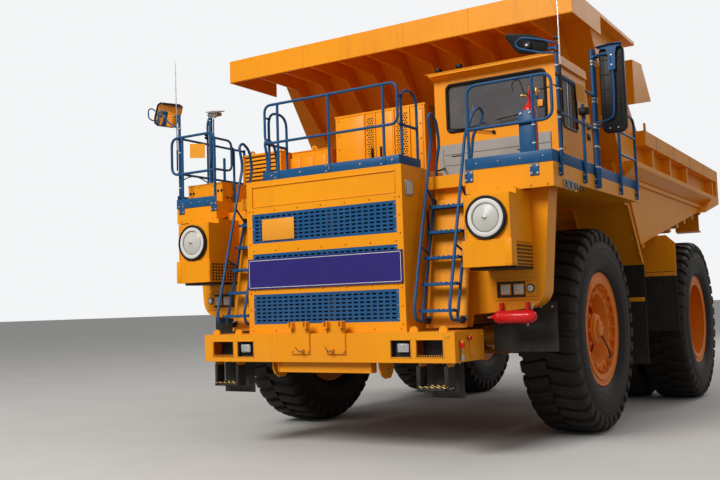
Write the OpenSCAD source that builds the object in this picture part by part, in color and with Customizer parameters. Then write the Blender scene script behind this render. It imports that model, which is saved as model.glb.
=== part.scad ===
// Rigid mining dump truck, 90 tonne class.
// Millimetres. X across (left side of the truck positive), Y along (front negative), Z up.
// The modules are drawn with Y counted from the bumper's face and moved to the middle by place().

/* [Wheels] */
// Distance between the two axles
wheelbase = 4481; // [4200:1:5400]
// Bumper's face to the front axle
front_overhang = 2943; // [2900:1:3300]
// Rear axle to the end of the bed
tail_overhang = 2936; // [2500:1:3500]
// Loaded radius of the tyres
tyre_r = 1320; // [1200:1:1345]
// Width of a tyre over its sidewalls
tyre_w = 770; // [640:1:790]
// Centre line to the middle of a front tyre
front_track_half = 2128; // [2100:1:2200]
// Centre line to the middle of an outer rear tyre
rear_track_half = 2403; // [2380:1:2500]
// Distance between the twin tyres, middle to middle
twin_pitch = 860; // [830:1:900]
// Radius of the rim's bead seat
rim_r = 622; // [560:1:640]
// Radius of the rim's flange
flange_r = 731; // [690:1:760]
// Width of the rim over its flanges
rim_w = 600; // [540:1:610]

/* [Steering] */
// Centre line to the kingpin
kingpin_x = 1500; // [1450:1:1550]
// Length of the steering arm, kingpin to tie rod
steer_arm = 450; // [350:1:500]
// Radius of the wheel spindle
spindle_r = 120; // [90:1:140]

/* [Frame] */
// Centre line to the outer face of a frame rail
rail_x = 800; // [700:1:860]
// Width of a frame rail
rail_w = 260; // [200:1:300]
// Depth of a frame rail
rail_depth = 540; // [420:1:600]
// Height of the rail's underside at the front
rail_z = 1420; // [1400:1:1500]
// How much higher the rail runs over the rear axle
rail_rise = 440; // [380:1:500]

/* [Bumper and housing] */
// Half width of the bumper
bumper_half = 1757; // [1600:1:1900]
// Underside of the bumper
bumper_z = 1076; // [1000:1:1150]
// Height of the bumper
bumper_h = 333; // [280:1:360]
// Half width of the radiator housing
housing_half = 1117; // [1000:1:1140]
// Bumper's face to the front of the radiator housing
housing_y = 113; // [105:1:160]
// Depth of the radiator housing
housing_len = 1040; // [900:1:1100]
// Wall of the radiator housing
housing_wall = 20; // [12:1:30]
// Half width of the grilles
grille_half = 1035; // [900:1:1060]
// Height of one grille
grille_h = 364; // [320:1:380]
// Slots across one grille
grille_cols = 24; // [16:1:30]
// Rows of slots in one grille
grille_rows = 7; // [5:1:9]

/* [Deck and cab] */
// Half width of the deck
deck_half = 2730; // [2700:1:2900]
// Height of the deck's top
deck_z = 3200; // [3150:1:3260]
// Thickness of the deck's edge
deck_h = 150; // [120:1:170]
// Width of the cab
cab_w = 1670; // [1500:1:1690]
// Cab's outer side from the centre line
cab_side_x = 2410; // [2380:1:2430]
// Bumper's face to the front of the cab
cab_y = 1750; // [1700:1:1800]
// Length of the cab at its floor
cab_len = 1290; // [1200:1:1300]
// Height of the cab without its base
cab_h = 1360; // [1250:1:1380]
// Thickness of the cab's panels
cab_wall = 45; // [35:1:60]

/* [Bed] */
// Half width of the bed over its side plates
bed_half = 2500; // [2400:1:2540]
// Half width of the bed over its rails and ribs
bed_rail_half = 2665; // [2620:1:2700]
// Height of the bed's foot, where headboard and floor meet
bed_foot_z = 2500; // [2480:1:2600]
// Slope of the bed's floor, in degrees
floor_slope = 10.7; // [9:0.1:12]
// Slope of the headboard from upright, in degrees
head_slope = 35.6; // [33:0.1:37]
// Height of the bed's top rail
bed_top_z = 4190; // [4100:1:4300]
// Plate of the bed's floor and headboard
bed_plate = 40; // [25:1:50]
// Plate of the bed's sides
side_plate_t = 30; // [20:1:40]
// Radius of the pin that the bed tips on
tip_pin_r = 60; // [45:1:75]
// Underside of the canopy's ribs
canopy_z = 5140; // [5100:1:5250]
// Height of the canopy's front board
canopy_h = 332; // [280:1:360]

/* [Hidden] */
$fn = 48;

// Colours
orange = [0.95, 0.58, 0.10];
rail_blue = [0.16, 0.33, 0.58];
rubber_black = [0.07, 0.06, 0.06];
board_purple = [0.20, 0.15, 0.42];
dark_metal = [0.18, 0.17, 0.17];
panel_grey = [0.62, 0.60, 0.56];
bottle_red = [0.75, 0.08, 0.08];
rod_steel = [0.75, 0.75, 0.76];
lens_white = [0.92, 0.92, 0.90];
glass_tint = [0.35, 0.40, 0.42, 0.5];

// Places along the truck, from the bumper's face
fa = front_overhang;
ra = fa + wheelbase;
tail_y = ra + tail_overhang;
front_out = 80;
mid_y = (tail_y - front_out) / 2;
axle_z = tyre_r;

// Running clearances
pin_gap = 0.05;
move_gap = 6;
seat_gap = 0.3;

// Frame
bumper_len = 330;
rail_front_y = bumper_len;
rail_top = rail_z + rail_depth;
rear_rail_z = rail_z + rail_rise;
rear_rail_top = rear_rail_z + rail_depth;
rail_in = rail_x - rail_w;
tip_y = ra + 1176;
tip_z = rear_rail_top + 160;
rail_end_y = tip_y + 150;

// Bed
foot_y = fa + 1927;
bed_end_h = tan(floor_slope) * (tail_y - foot_y);
head_run = tan(head_slope);
head_top_y = foot_y - head_run * (canopy_z - bed_foot_z);
canopy_y = fa - 1273;

// Moves a module drawn from the bumper's face to the truck's middle
module place() translate([0, -mid_y, 0]) children();

// A block between two corners
module block(x0, x1, y0, y1, z0, z1)
    translate([x0, y0, z0]) cube([x1 - x0, y1 - y0, z1 - z0]);

// The same thing on both sides
module both() {
    children();
    mirror([1, 0, 0]) children();
}

// A plate cut to an outline of [y, z] points, between two x
module side_cut(points, x0, x1)
    translate([x0, 0, 0]) rotate([90, 0, 90]) linear_extrude(x1 - x0) polygon(points);

// A plate cut to an outline of [x, z] points, between two y
module front_cut(points, y0, y1)
    translate([0, y1, 0]) rotate([90, 0, 0]) linear_extrude(y1 - y0) polygon(points);

// A round bar from a to b
module bar(a, b, r) {
    v = b - a;
    len = norm(v);
    translate(a) rotate([0, acos(v[2] / len), atan2(v[1], v[0])]) cylinder(r = r, h = len);
}

// A bent bar along points, with round elbows
module bent_bar(points, r) {
    for (i = [0 : len(points) - 2]) bar(points[i], points[i + 1], r);
    for (i = [1 : len(points) - 2]) translate(points[i]) sphere(r = r * 1.06);
}

// A cylinder along X between two x
module x_pin(y, z, r, x0, x1)
    translate([x0, y, z]) rotate([0, 90, 0]) cylinder(r = r, h = x1 - x0);

// Turns a [radius, across] profile round the X axis at a wheel's centre
module x_turn(x, y, z) translate([x, y, z]) rotate([0, 90, 0]) rotate_extrude() children();

// Height of the floor's upper face at y, and of the headboard's front face
function floor_at(y) = bed_foot_z + tan(floor_slope) * (y - foot_y);
function head_y(z) = foot_y - head_run * (z - bed_foot_z);

// Frame: two box rails that rise over the rear axle, cross members, suspension towers and tipping lugs
tower_y = 200;
tower_x = 1340;
tower_z0 = 2330;
tower_z1 = 2620;
cross_r = 130;
lug_t = 50;
module rail_outline() {
    polygon([
        [rail_front_y, bumper_z + 40], [820, bumper_z + 40], [1250, rail_z], [ra - 2250, rail_z],
        [ra - 1500, rear_rail_z], [rail_end_y, rear_rail_z], [rail_end_y, rear_rail_top],
        [ra - 1600, rear_rail_top], [ra - 2350, rail_top], [rail_front_y, rail_top]
    ]);
}
hoist_y = tip_y - 2450;
hoist_z = axle_z + 80;
hoist_x = 950;
hoist_pin_r = 50;
eye_half = 50;
a_end_y = ra - 2980;
module frame() color(orange) place() {
    both() {
        translate([rail_in, 0, 0]) rotate([90, 0, 90]) linear_extrude(rail_w) rail_outline();
        side_cut([[fa - tower_y, rail_top - 200], [fa + tower_y, rail_top - 200], [fa + tower_y, tower_z1],
            [fa - tower_y, tower_z1]], rail_x - 40, rail_x);
        block(rail_x - 1, tower_x, fa - tower_y, fa + tower_y, tower_z0, tower_z1);
        block(rail_x - 1, rail_x + 270, ra + 290, ra + 570, rear_rail_top - 330, rear_rail_top - 20);
        side_cut([[hoist_y - 160, rear_rail_z + 1], [hoist_y + 160, rear_rail_z + 1],
            [hoist_y + 70, hoist_z - 90],
            [hoist_y - 70, hoist_z - 90]], rail_x - 60, rail_x);
        x_pin(hoist_y, hoist_z, hoist_pin_r, rail_x - 1, hoist_x + eye_half + 12);
        for (x = [rail_in, rail_x - lug_t])
            side_cut([[tip_y - 200, rear_rail_top - 1], [rail_end_y, rear_rail_top - 1],
                [rail_end_y, tip_z + 60], [tip_y + 60, tip_z + 150], [tip_y - 80, tip_z + 150]], x,
                    x + lug_t);
        x_pin(tip_y, tip_z, tip_pin_r, rail_in, rail_x);
    }
}

// Tubes and box members between the rails, the ball seat of the rear axle's arm and the rear tow eye
module frame_cross_members() color(orange) place() {
    for (y = [700, ra - 2900]) x_pin(y, rail_z + 250, cross_r, -rail_in, rail_in);
    x_pin(ra - 700, rear_rail_z + 270, cross_r, -rail_in, rail_in);
    block(-rail_in, rail_in, rail_end_y - 220, rail_end_y, rear_rail_z, rear_rail_top);
    block(-rail_in, rail_in, ra - 2350, ra - 2150, rail_z, rail_z + 300);
    block(-100, 100, a_end_y, a_end_y + 100, rail_z - 220, rail_z + 200);
    difference() {
        block(-110, 110, rail_end_y - 1, rail_end_y + 170, rear_rail_z + 80, rear_rail_z + 160);
        translate([0, rail_end_y + 90, rear_rail_z]) cylinder(r = 40, h = 400);
    }
}

// Bumper: a hollow beam with lamp and step holes, side steps, lower bar and the two tow plates
bumper_back = 736;
bumper_top = bumper_z + bumper_h;
lamp_hole = [970, 1219, 1130, 1330];
step_hole = [1291, 1614, 1130, 1330];
tow_x = 250;
tow_plate_w = 264;
plate_t = 20;
module tow_plate() {
    front_cut([[tow_x - tow_plate_w / 2, 1172], [tow_x + tow_plate_w / 2, 1172],
        [tow_x + tow_plate_w / 2, 1550], [tow_x - tow_plate_w / 2, 1550]], -plate_t, 0);
    for (x = [tow_x - tow_plate_w / 2, tow_x + tow_plate_w / 2 - 60])
        difference() {
            block(x, x + 60, -front_out, -plate_t, 1470, 1545);
            block(x + 16, x + 44, -front_out - 1, -plate_t - 14, 1488, 1546);
        }
    translate([tow_x - 40, -front_out + 20, 1215]) rotate([-90, 0, 0]) cylinder(r = 14, h = 60);
}
module front_bumper() color(orange) place() {
    difference() {
        block(-bumper_half, bumper_half, 0, bumper_len, bumper_z, bumper_top);
        block(-bumper_half + plate_t, bumper_half - plate_t, plate_t, bumper_len - plate_t,
            bumper_z + plate_t, bumper_top - plate_t);
        both() for (h = [lamp_hole, step_hole]) block(h[0], h[1], -1, plate_t + 1, h[2], h[3]);
    }
    both() {
        block(1160, bumper_half, bumper_len, bumper_back, bumper_top - plate_t, bumper_top);
        block(bumper_half - plate_t, bumper_half, bumper_len, bumper_back, bumper_z, bumper_top);
        side_cut([[60, bumper_z], [200, bumper_z], [200, 950], [90, 950]], 640, 660);
        tow_plate();
    }
    block(-660, 660, 90, 200, 950, bumper_z);
}

// Rubber-hung steps below the bumper and the rubber flaps behind them
module bumper_steps() color(rubber_black) place() both() {
    for (x = [1165, 1535]) block(x, x + 25, 180, 260, 720, bumper_z);
    for (z = [720, 880]) block(1190, 1535, 180, 260, z, z + 40);
    block(1180, 1590, 310, 322, 670, bumper_z);
}

// Radiator housing: a box open at the back, with a raised edge round the blank top panel
housing_top = 3298;
housing_back = housing_y + housing_len;
grille_z = [1527, 2028, 2525];
module radiator_housing() color(orange) place() difference() {
    block(-housing_half, housing_half, housing_y, housing_back, bumper_top, housing_top);
    block(-housing_half + housing_wall, housing_half - housing_wall, housing_y + housing_wall,
        housing_back + 1, bumper_top + housing_wall, housing_top - housing_wall);
    block(-rail_x - 40, rail_x + 40, bumper_len, housing_back + 1, bumper_top - 1,
        bumper_top + housing_wall + 1);
    for (z = grille_z) block(-grille_half, grille_half, housing_y - 1, housing_y + housing_wall + 1, z,
        z + grille_h);
    block(-1030, 1030, housing_y - 1, housing_y + 8, 2980, 3230);
}

// Three slotted grilles set into the housing's front
module radiator_grilles() color(rail_blue) place()
    for (z = grille_z) difference() {
        block(-grille_half, grille_half, housing_y, housing_y + housing_wall, z, z + grille_h);
        for (i = [0 : grille_cols - 1], j = [0 : grille_rows - 1]) {
            pitch_x = (2 * grille_half - 60) / grille_cols;
            pitch_z = (grille_h - 40) / grille_rows;
            x = -grille_half + 30 + i * pitch_x + 14;
            block(x, x + pitch_x - 28, housing_y - 1, housing_y + housing_wall + 1,
                z + 20 + j * pitch_z + 13, z + 20 + (j + 1) * pitch_z - 13);
        }
    }

// Radiator block behind the grilles
core_gap = 97;
module radiator_core() color(dark_metal) place()
    block(-(housing_half - housing_wall - core_gap), housing_half - housing_wall - core_gap,
        housing_y + housing_wall + 20, bumper_len - 12, bumper_top + housing_wall, 2950);

// Blank board across the middle grille
module front_board() color(board_purple) place()
    block(-1100, 1100, housing_y - 20, housing_y, 1955, 2330);

// Deck: the slab round the engine, its skirts and the legs that stand on the frame
deck_front = 560;
deck_under = deck_z - deck_h;
ladder_head_y = 700;
ladder_out = 1693;
deck_back = fa + 1107;
skirt_t = 20;
walk_x = 2010;
walk_y = 930;
module deck() color(orange) place() {
    difference() {
        block(-deck_half, deck_half, deck_front, deck_back, deck_under, deck_z);
        block(-ladder_out, ladder_out, deck_front - 1, ladder_head_y, deck_under - 1, deck_z + 1);
        block(-housing_half, housing_half, deck_front - 1, housing_back, deck_under - 1, deck_z + 1);
        block(-walk_x, -ladder_out + 1, deck_front - 1, walk_y, deck_under - 1, deck_z + 1);
    }
    block(ladder_out, deck_half, deck_front, deck_front + skirt_t, 2930, deck_under);
    block(-deck_half, -walk_x, deck_front, deck_front + skirt_t, 2930, deck_under);
    side_cut([[deck_front + skirt_t, 2930], [deck_front + skirt_t, deck_under], [fender_y, deck_under],
        [fender_y, 3005]],
        -walk_x - 12, -walk_x);
    both() {
        side_cut([[deck_front, 2930], [1330, 2930], [1430, 3020], [deck_back, 3035], [deck_back, deck_under],
            [deck_front, deck_under]], deck_half - skirt_t, deck_half);
        for (y = [1300, deck_back - 300]) block(610, 730, y, y + 120, rail_top, deck_under);
    }
}

// Fenders: front panels with a round corner and a rolled edge, and the sloping panels behind the front wheels
fender_y = 800;
fender_t = 25;
fender_in = 1180;
fender_edge = 270;
fender_corner = 230;
flap_y = fa + 1937;
fender_out_x = 2520;
module fender_outline(t) {
    cx = fender_out_x - 35 - fender_corner;
    polygon([[fender_in, bumper_top + 30 + t], [1590, bumper_top + 30 + t], [1610, 1570 + t],
        [cx, 1630 + t], [cx, 1860],
        [cx + fender_corner - t, 1860], [fender_out_x + 70 - t, deck_under], [fender_in, deck_under]]);
    translate([cx, 1860]) circle(r = fender_corner - t);
}
module fenders() color(orange) place() both() {
    translate([0, fender_y + fender_t, 0]) rotate([90, 0, 0]) linear_extrude(fender_t) fender_outline(0);
    difference() {
        translate([0, fender_y + fender_edge, 0]) rotate([90, 0, 0])
            linear_extrude(fender_edge - fender_t + 1)
            difference() {
                fender_outline(0);
                fender_outline(fender_t);
            }
        block(fender_in - 1, 1700, fender_y, fender_y + fender_edge + 1, bumper_top, deck_under + 1);
    }
    side_cut([[deck_back - 60, deck_under - 20], [flap_y - 650, deck_under - 20], [flap_y, 2200],
        [flap_y + 24, 2200],
        [flap_y - 640, deck_under], [deck_back - 60, deck_under]], 1700, fender_out_x);
    for (x = [1700, fender_out_x - 12])
        side_cut([[flap_y - 640, deck_under - 60], [flap_y - 22, 2222], [flap_y - 80, 2222],
            [flap_y - 700, deck_under - 20],
            [flap_y - 640, deck_under - 20]], x, x + 12);
    front_cut([[1890, 1725], [2410, 1725], [2410, 1965], [1890, 1965]], fender_y - 14, fender_y);
    side_cut([[ladder_wall[0], ladder_wall[1]], [ladder_wall[0] + 20, ladder_wall[1]], [760, 2900],
        [fender_y, 2900],
        [fender_y, ladder_wall[3]], [ladder_wall[2], ladder_wall[3]]], fender_in, ladder_out - 10);
}

// Rubber mud flaps before and behind the front wheels
module mud_flaps() color(rubber_black) place() both() {
    block(1740, 2510, fender_y + fender_edge, fender_y + fender_edge + 14, 1137, 1700);
    block(1700, fender_out_x, flap_y, flap_y + 20, 730, 2200);
}

// Air cleaner boxes in front of the fenders, and their round end covers
cleaner = [1831, 2360, 194, 2088, 2869];
disc_x = 2094;
disc_z = 2611;
disc_r = 228;
cleaner_split = 2375;
module air_cleaners() color(orange) place() both() difference() {
    union() {
        block(cleaner[0], cleaner[1], cleaner[2], fender_y, cleaner_split, cleaner[4]);
        block(cleaner[0] - 15, cleaner[1] + 15, cleaner[2] - 25, fender_y, cleaner[3], cleaner_split);
        block(cleaner[0], cleaner[1], cleaner[2] + 200, fender_y, cleaner[4] - 1, 2930);
    }
    for (i = [0 : 8], j = [0 : 5])
        block(cleaner[1] - 20, cleaner[1] + 16, 320 + i * 52, 320 + i * 52 + 36, cleaner[3] + 40 + j * 40,
            cleaner[3] + 66 + j * 40);
    block(cleaner[0] + 30, cleaner[1] - 20, 300, 780, cleaner[3] + 20, cleaner_split - 40);
}
module air_cleaner_discs() color(lens_white) place() both()
    translate([disc_x, cleaner[2], disc_z]) rotate([90, 0, 0]) {
        difference() {
            cylinder(r = disc_r, h = 40);
            translate([0, 0, 26]) cylinder(r = disc_r - 22, h = 20);
        }
        translate([0, 0, 25]) cylinder(r1 = disc_r - 60, r2 = 30, h = 22);
    }

// Ladders from the bumper to the deck, with their hand rails
ladder_in = 1205;
ladder_w = 450;
tread_count = 5;
tread_z = 1650;
tread_pitch = 298;
rail_tube_r = 17;
function ladder_y(z) = 226 + 0.297 * (z - tread_z);
ladder_back = 112;
rail_loop = [[690, 3660], [625, 3870], [665, 3930], [730, 3925], [805, 3865], [900, 3620], [835, 3370],
    [790, 3260],
    [790, deck_z]];
module ladder_rail(x) {
    feet = [[490, 1520], [300, 1530], [180, 1570], [126, 1660]];
    bent_bar([for (q = concat(feet, rail_loop)) [x, q[0], q[1]]], rail_tube_r);
    bar([x, ladder_y(1545) + ladder_back, 1532], [x, ladder_y(2895) + ladder_back, 2895], rail_tube_r);
    bar([x, ladder_y(2350) - 100, 2350], [x, ladder_y(2290) + ladder_back, 2290], 14);
    bar([x, ladder_y(3040) - 100, 3040], [x, ladder_y(2890) + ladder_back, 2890], 14);
    block(x - 12, x + 12, 690, 760, 2870, 2922);
}
ladder_wall = [455, bumper_top + 30, 740, 2922];
module behind_ladder_wall() {
    lean = (ladder_wall[2] - ladder_wall[0]) / (ladder_wall[3] - ladder_wall[1]);
    front = ladder_wall[0] - 1.1 * seat_gap;
    side_cut([[front, ladder_wall[1]], [front + lean * (2950 - ladder_wall[1]), 2950], [1000, 2950],
        [1000, ladder_wall[1]]],
        ladder_in - 50, ladder_in + ladder_w + 50);
}
module ladders() color(rail_blue) place() both() {
    inner = ladder_in + 7.5;
    outer = ladder_in + ladder_w - 7.5;
    difference() {
        union() {
            for (x = [inner, outer]) ladder_rail(x);
            for (i = [0 : tread_count - 1]) {
                z = tread_z + i * tread_pitch;
                block(inner, outer, ladder_y(z), ladder_y(z) + 140, z - 30, z);
            }
        }
        behind_ladder_wall();
    }
}

// Railings: centre front, deck fronts, deck sides, the mirror mast and the blue toe boards
rail_z1 = 4165;
rail_z0 = 3666;
post_x = deck_half + 20;
module side_post(y, z0, z1, r) {
    bar([deck_half + r, y, z0], [deck_half + r, y, z1], r);
    block(deck_half, post_x, y - 30, y + 30, z0 + 20, z0 + 90);
}
right_mast_y = 650;
module front_loop(x0, x1, xp, z, toe_x) {
    bent_bar([[x0, 585, deck_z], [x0, 585, z[0]], [x0 + 90, 585, z[1]], [x1 - 90, 585, z[1]], [x1, 585, z[0]],
        [x1, 585, z[2] + 95], [x1 - 90, 585, z[2]], [x0, 585, z[2]]], rail_tube_r);
    bar([xp, 585, deck_z], [xp, 585, z[1]], rail_tube_r);
    for (x = [x0, xp]) {
        block(x - 45, x + 45, deck_front - 8, deck_front, 3070, 3190);
        block(x - 20, x + 20, deck_front - 8, 585, deck_z, deck_z + 30);
    }
    block(toe_x, deck_half, deck_front, deck_front + 8, deck_z, deck_z + 130);
}
module railings() color(rail_blue) place() {
    bent_bar([[-640, 160, 3770], [-780, 160, 3770], [-840, 160, 3840], [-840, 160, 4180], [-780, 160, 4250],
        [1010, 160, 4250], [1070, 160, 4180], [1070, 160, 3840], [1010, 160, 3770], [-640, 160, 3770]],
            rail_tube_r);
    for (x = [-640, 120, 880]) bar([x, 160, housing_top], [x, 160, 4250], rail_tube_r);
    for (x = [-840, 1070])
        bent_bar([[x, 240, housing_top], [x, 240, 4120], [x, 290, 4190], [x, 560, 4190], [x, 610, 4120],
            [x, 610, housing_top]], rail_tube_r);
    for (x = [-840, 1070], z = [3770, 4100]) bar([x, 160, z], [x, 240, z], rail_tube_r);
    for (x = [-840, 1070]) bar([x, 240, 3770], [x, 610, 3770], rail_tube_r);
    block(-860, 1090, 125, 133, housing_top, housing_top + 110);
    for (x = [-860, 1082]) block(x, x + 8, 133, 640, housing_top, housing_top + 110);
    both() {
        block(deck_half - 8, deck_half, deck_front + 8, deck_back, deck_z, deck_z + 130);
        side_post(1600, 3060, 3995, 20);
        side_post(fa + 137, 3060, 3920, 20);
        side_post(fa + 900, 3060, 4190, 20);
        for (z = [3600, 3900]) bar([post_x, fa + 137, z], [post_x, fa + 900, z], rail_tube_r);
    }
    front_loop(1740, 2740, 2520, [4080, rail_z1, rail_z0], 1700);
    mirror([1, 0, 0]) front_loop(2050, 2840, 2640, [4065, 4150, 3632], walk_x);
    side_post(770, 3060, 4500, 20);
    for (z = [3760, 4180]) bar([post_x, 770, z], [post_x, 2070, z], rail_tube_r);
    for (y = [2035, 2105]) side_post(y, 3050, 4750, 26);
    mirror([1, 0, 0]) {
        side_post(right_mast_y, 3060, 4500, 20);
        for (z = [3650, 4155]) bar([post_x, right_mast_y, z], [post_x, 2070, z], rail_tube_r);
        bent_bar([[2050, 585, 4065], [2050, 850, 4080], [2050, 940, 3990], [2050, 940, 3760],
            [2050, 860, 3660],
            [2050, 585, 3640]], rail_tube_r);
        bent_bar([[2050, 990, deck_z], [2050, 990, 3920], [2050, 940, 3970]], rail_tube_r);
        side_post(2070, 3060, 4180, 20);
        bar([2390, 900, 3481], [2390, 900, 4520], 27);
        bar([2450, 900, 3481], [2450, 900, 4470], 15);
        block(2340, 2480, 860, 940, 3480, 3505);
    }
    for (z = [3800, 4650]) bar([post_x, 2064, z], [2850, 2064, z], 16);
    bar([post_x, 770, 4480], [2650, 770, 4480], 16);
    mirror([1, 0, 0]) bar([post_x, right_mast_y, 4480], [2840, right_mast_y, 4480], 16);
}

// Cabinet behind the centre railing
module electrical_cabinet() color(orange) place()
    block(-820, 590, 1740, 2600, deck_z, 4370);

// Boxes on the right deck and the round cover beside the cabinet
module deck_boxes() color(orange) place() {
    block(-2700, -2070, 760, 1250, deck_z, 3480);
    block(-2300, -1600, 1500, 2300, deck_z, 3960);
    block(-1560, -900, 1700, 2600, deck_z, 3940);
    translate([-250, 1400, deck_z]) cylinder(r = 190, h = 270);
}

// Cab: hollow shell on its base, with the window and door openings cut
cab_base = 130;
cab_z = deck_z + cab_base;
cab_top = cab_z + cab_h;
cab_x0 = cab_side_x - cab_w;
cab_lean = 240;
door_y0 = cab_y + 75;
door_y1 = door_y0 + 920;
door_z0 = cab_z + 50;
door_z1 = cab_top - 130;
door_gap = 6;
win_r = 60;
hinge_r = 14;
hinge_pin_r = 7;
hinge_x = cab_side_x + hinge_r;
hinge_y = door_y0 - move_gap / 2;
hinge_z = [door_z0 + 150, door_z1 - 260];
knuckle_h = 60;
module hinge_leaf(side, z0, z1) {
    translate([hinge_x, hinge_y, z0]) cylinder(r = hinge_r, h = z1 - z0);
    block(cab_side_x, cab_side_x + 8, min(hinge_y, hinge_y + side * 70), max(hinge_y, hinge_y + side * 70),
        z0, z1);
}
module hinge_fixed(z) {
    hinge_leaf(-1, z - 40, z - 1);
    hinge_leaf(-1, z + knuckle_h + 1, z + knuckle_h + 40);
    translate([hinge_x, hinge_y, z - 40]) cylinder(r = hinge_pin_r, h = knuckle_h + 80);
}
module hinge_moving(z) difference() {
    hinge_leaf(1, z, z + knuckle_h);
    translate([hinge_x, hinge_y, z - 1]) cylinder(r = hinge_pin_r + pin_gap, h = knuckle_h + 2);
}
module round_rect(x0, x1, y0, y1, r) {
    translate([x0 + r, y0]) square([x1 - x0 - 2 * r, y1 - y0]);
    translate([x0, y0 + r]) square([x1 - x0, y1 - y0 - 2 * r]);
    for (x = [x0 + r, x1 - r], y = [y0 + r, y1 - r]) translate([x, y]) circle(r = r);
}
module cab_outline(t) {
    polygon([
        [cab_y + t, cab_z + t], [cab_y + cab_len - t, cab_z + t], [cab_y + cab_len - t, cab_z + 500],
        [cab_y + cab_len - cab_lean - t, cab_top - t], [cab_y + t, cab_top - t]
    ]);
}
module windscreen(grow) translate([0, cab_y + cab_wall / 2 + 200, 0]) rotate([90, 0, 0])
    linear_extrude(400) round_rect(cab_x0 + 180 - grow, cab_side_x - 155 + grow, 3920 - grow, 4535 + grow,
        win_r);
module side_window(x, grow) translate([x - 200, 0, 0]) rotate([90, 0, 90]) linear_extrude(400)
    round_rect(cab_y + 120 - grow, cab_y + 850 + grow, 3930 - grow, 4520 + grow, win_r);
module rear_window(grow) translate([0, cab_y + cab_len + 200, 0]) rotate([90, 0, 0]) linear_extrude(500)
    round_rect(cab_x0 + 250 - grow, cab_side_x - 250 + grow, 3960 - grow, 4400 + grow, win_r);
module cab_hollow(t) translate([cab_x0 + t, 0, 0]) rotate([90, 0, 90]) linear_extrude(cab_w - 2 * t)
    cab_outline(t);
module cab_shell() color(orange) place() {
    difference() {
        cab_hollow(0);
        cab_hollow(cab_wall);
        windscreen(0);
        side_window(cab_x0, 0);
        intersection() {
            rear_window(0);
            block(cab_x0, cab_side_x, cab_y + 700, cab_y + cab_len + 10, cab_z, cab_top);
        }
        block(cab_side_x - cab_wall - 1, cab_side_x + 1, door_y0 - door_gap, door_y1 + door_gap,
            door_z0 - door_gap, door_z1 + door_gap);
    }
    side_cut([[cab_y - 120, cab_top - 34], [cab_y, cab_top - 70], [cab_y, cab_top],
        [cab_y - 120, cab_top - 8]],
        cab_x0 - 20, cab_side_x + 30);
    side_cut([[cab_y, cab_top - 110], [cab_y + cab_len - cab_lean + 20, cab_top - 110],
        [cab_y + cab_len - cab_lean - 10, cab_top],
        [cab_y, cab_top]], cab_side_x - 1, cab_side_x + 30);
    for (z = hinge_z) hinge_fixed(z);
}

// Dark cab mounts, and the grey panel below the windscreen with its pressed lines
module cab_mounts() color(rubber_black) place() {
    block(cab_x0 + 60, cab_side_x - 60, cab_y + 90, cab_y + cab_len - 60, deck_z + 40, cab_z);
    for (x = [cab_x0 + 150, cab_side_x - 150], y = [cab_y + 200, cab_y + cab_len - 200])
        translate([x, y, deck_z]) cylinder(r = 90, h = 41);
}
panel_t = 22;
module cab_front_panel() color(panel_grey) place() difference() {
    front_cut([[cab_x0 + 40, cab_z + 15], [cab_side_x - 110, cab_z + 15], [cab_side_x - 110, 3755],
        [cab_x0 + 60, 3755]],
        cab_y - panel_t, cab_y);
    for (z = [3470, 3610]) block(cab_x0 + 130, cab_side_x - 111, cab_y - panel_t - 1, cab_y - panel_t + 8,
        z, z + 14);
    block(cab_x0 + 110, cab_x0 + 130, cab_y - panel_t - 1, cab_y - panel_t + 8, 3400, 3700);
}
module pane(t) intersection() {
    difference() {
        cab_hollow(t);
        cab_hollow(t + 8);
    }
    children();
}
module cab_glass() color(glass_tint) place() pane(cab_wall / 2 - 4) {
    union() {
        windscreen(0);
        side_window(cab_x0, 0);
        intersection() {
            rear_window(0);
            block(cab_x0, cab_side_x, cab_y + 700, cab_y + cab_len + 10, cab_z, cab_top);
        }
    }
}

// Seat, console and steering column
seat_x = cab_side_x - 700;
module cab_interior() color(dark_metal) place() {
    floor_z = cab_z + cab_wall;
    block(seat_x - 160, seat_x + 160, cab_y + 560, cab_y + 880, floor_z, floor_z + 260);
    block(seat_x - 260, seat_x + 260, cab_y + 480, cab_y + 980, floor_z + 260, floor_z + 400);
    side_cut([[cab_y + 880, floor_z + 400], [cab_y + 990, floor_z + 400], [cab_y + 1030, floor_z + 900],
        [cab_y + 940, floor_z + 900]], seat_x - 240, seat_x + 240);
    side_cut([[cab_y + cab_wall, floor_z], [cab_y + 200, floor_z], [cab_y + 290, floor_z + 480],
        [cab_y + 240, floor_z + 560], [cab_y + cab_wall, floor_z + 560]], cab_x0 + cab_wall + 20,
            cab_side_x - cab_wall - 20);
    bar([seat_x, cab_y + 200, floor_z + 420], [seat_x, cab_y + 400, floor_z + 640], 30);
    translate([seat_x, cab_y + 400, floor_z + 640]) rotate([-42, 0, 0])
        rotate_extrude() translate([190, 0]) circle(r = 16);
    for (a = [0, 60, 120]) translate([seat_x, cab_y + 400, floor_z + 640]) rotate([-42, 0, 0])
        rotate([0, 90, a])
        translate([0, 0, -190]) cylinder(r = 11, h = 380);
}

// Cab door, hinged at its front edge
module door_window(t) translate([cab_side_x - 200, 0, 0]) rotate([90, 0, 90]) linear_extrude(400)
    round_rect(door_y0 + 65 - t, door_y0 + 600 + t, 3830 - t, door_z1 - 100 + t, win_r);
module cab_door() color(orange) place() {
    difference() {
        block(cab_side_x - cab_wall, cab_side_x, door_y0, door_y1, door_z0, door_z1);
        door_window(0);
    }
    block(cab_side_x, cab_side_x + 10, door_y1 - 80, door_y1 - 35, 3790, 4010);
    for (z = [3830, 3940]) block(cab_side_x, cab_side_x + 34, door_y1 - 72, door_y1 - 44, z, z + 14);
    block(cab_side_x + 22, cab_side_x + 34, door_y1 - 72, door_y1 - 44, 3830, 3954);
    for (z = hinge_z) hinge_moving(z);
}

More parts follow.
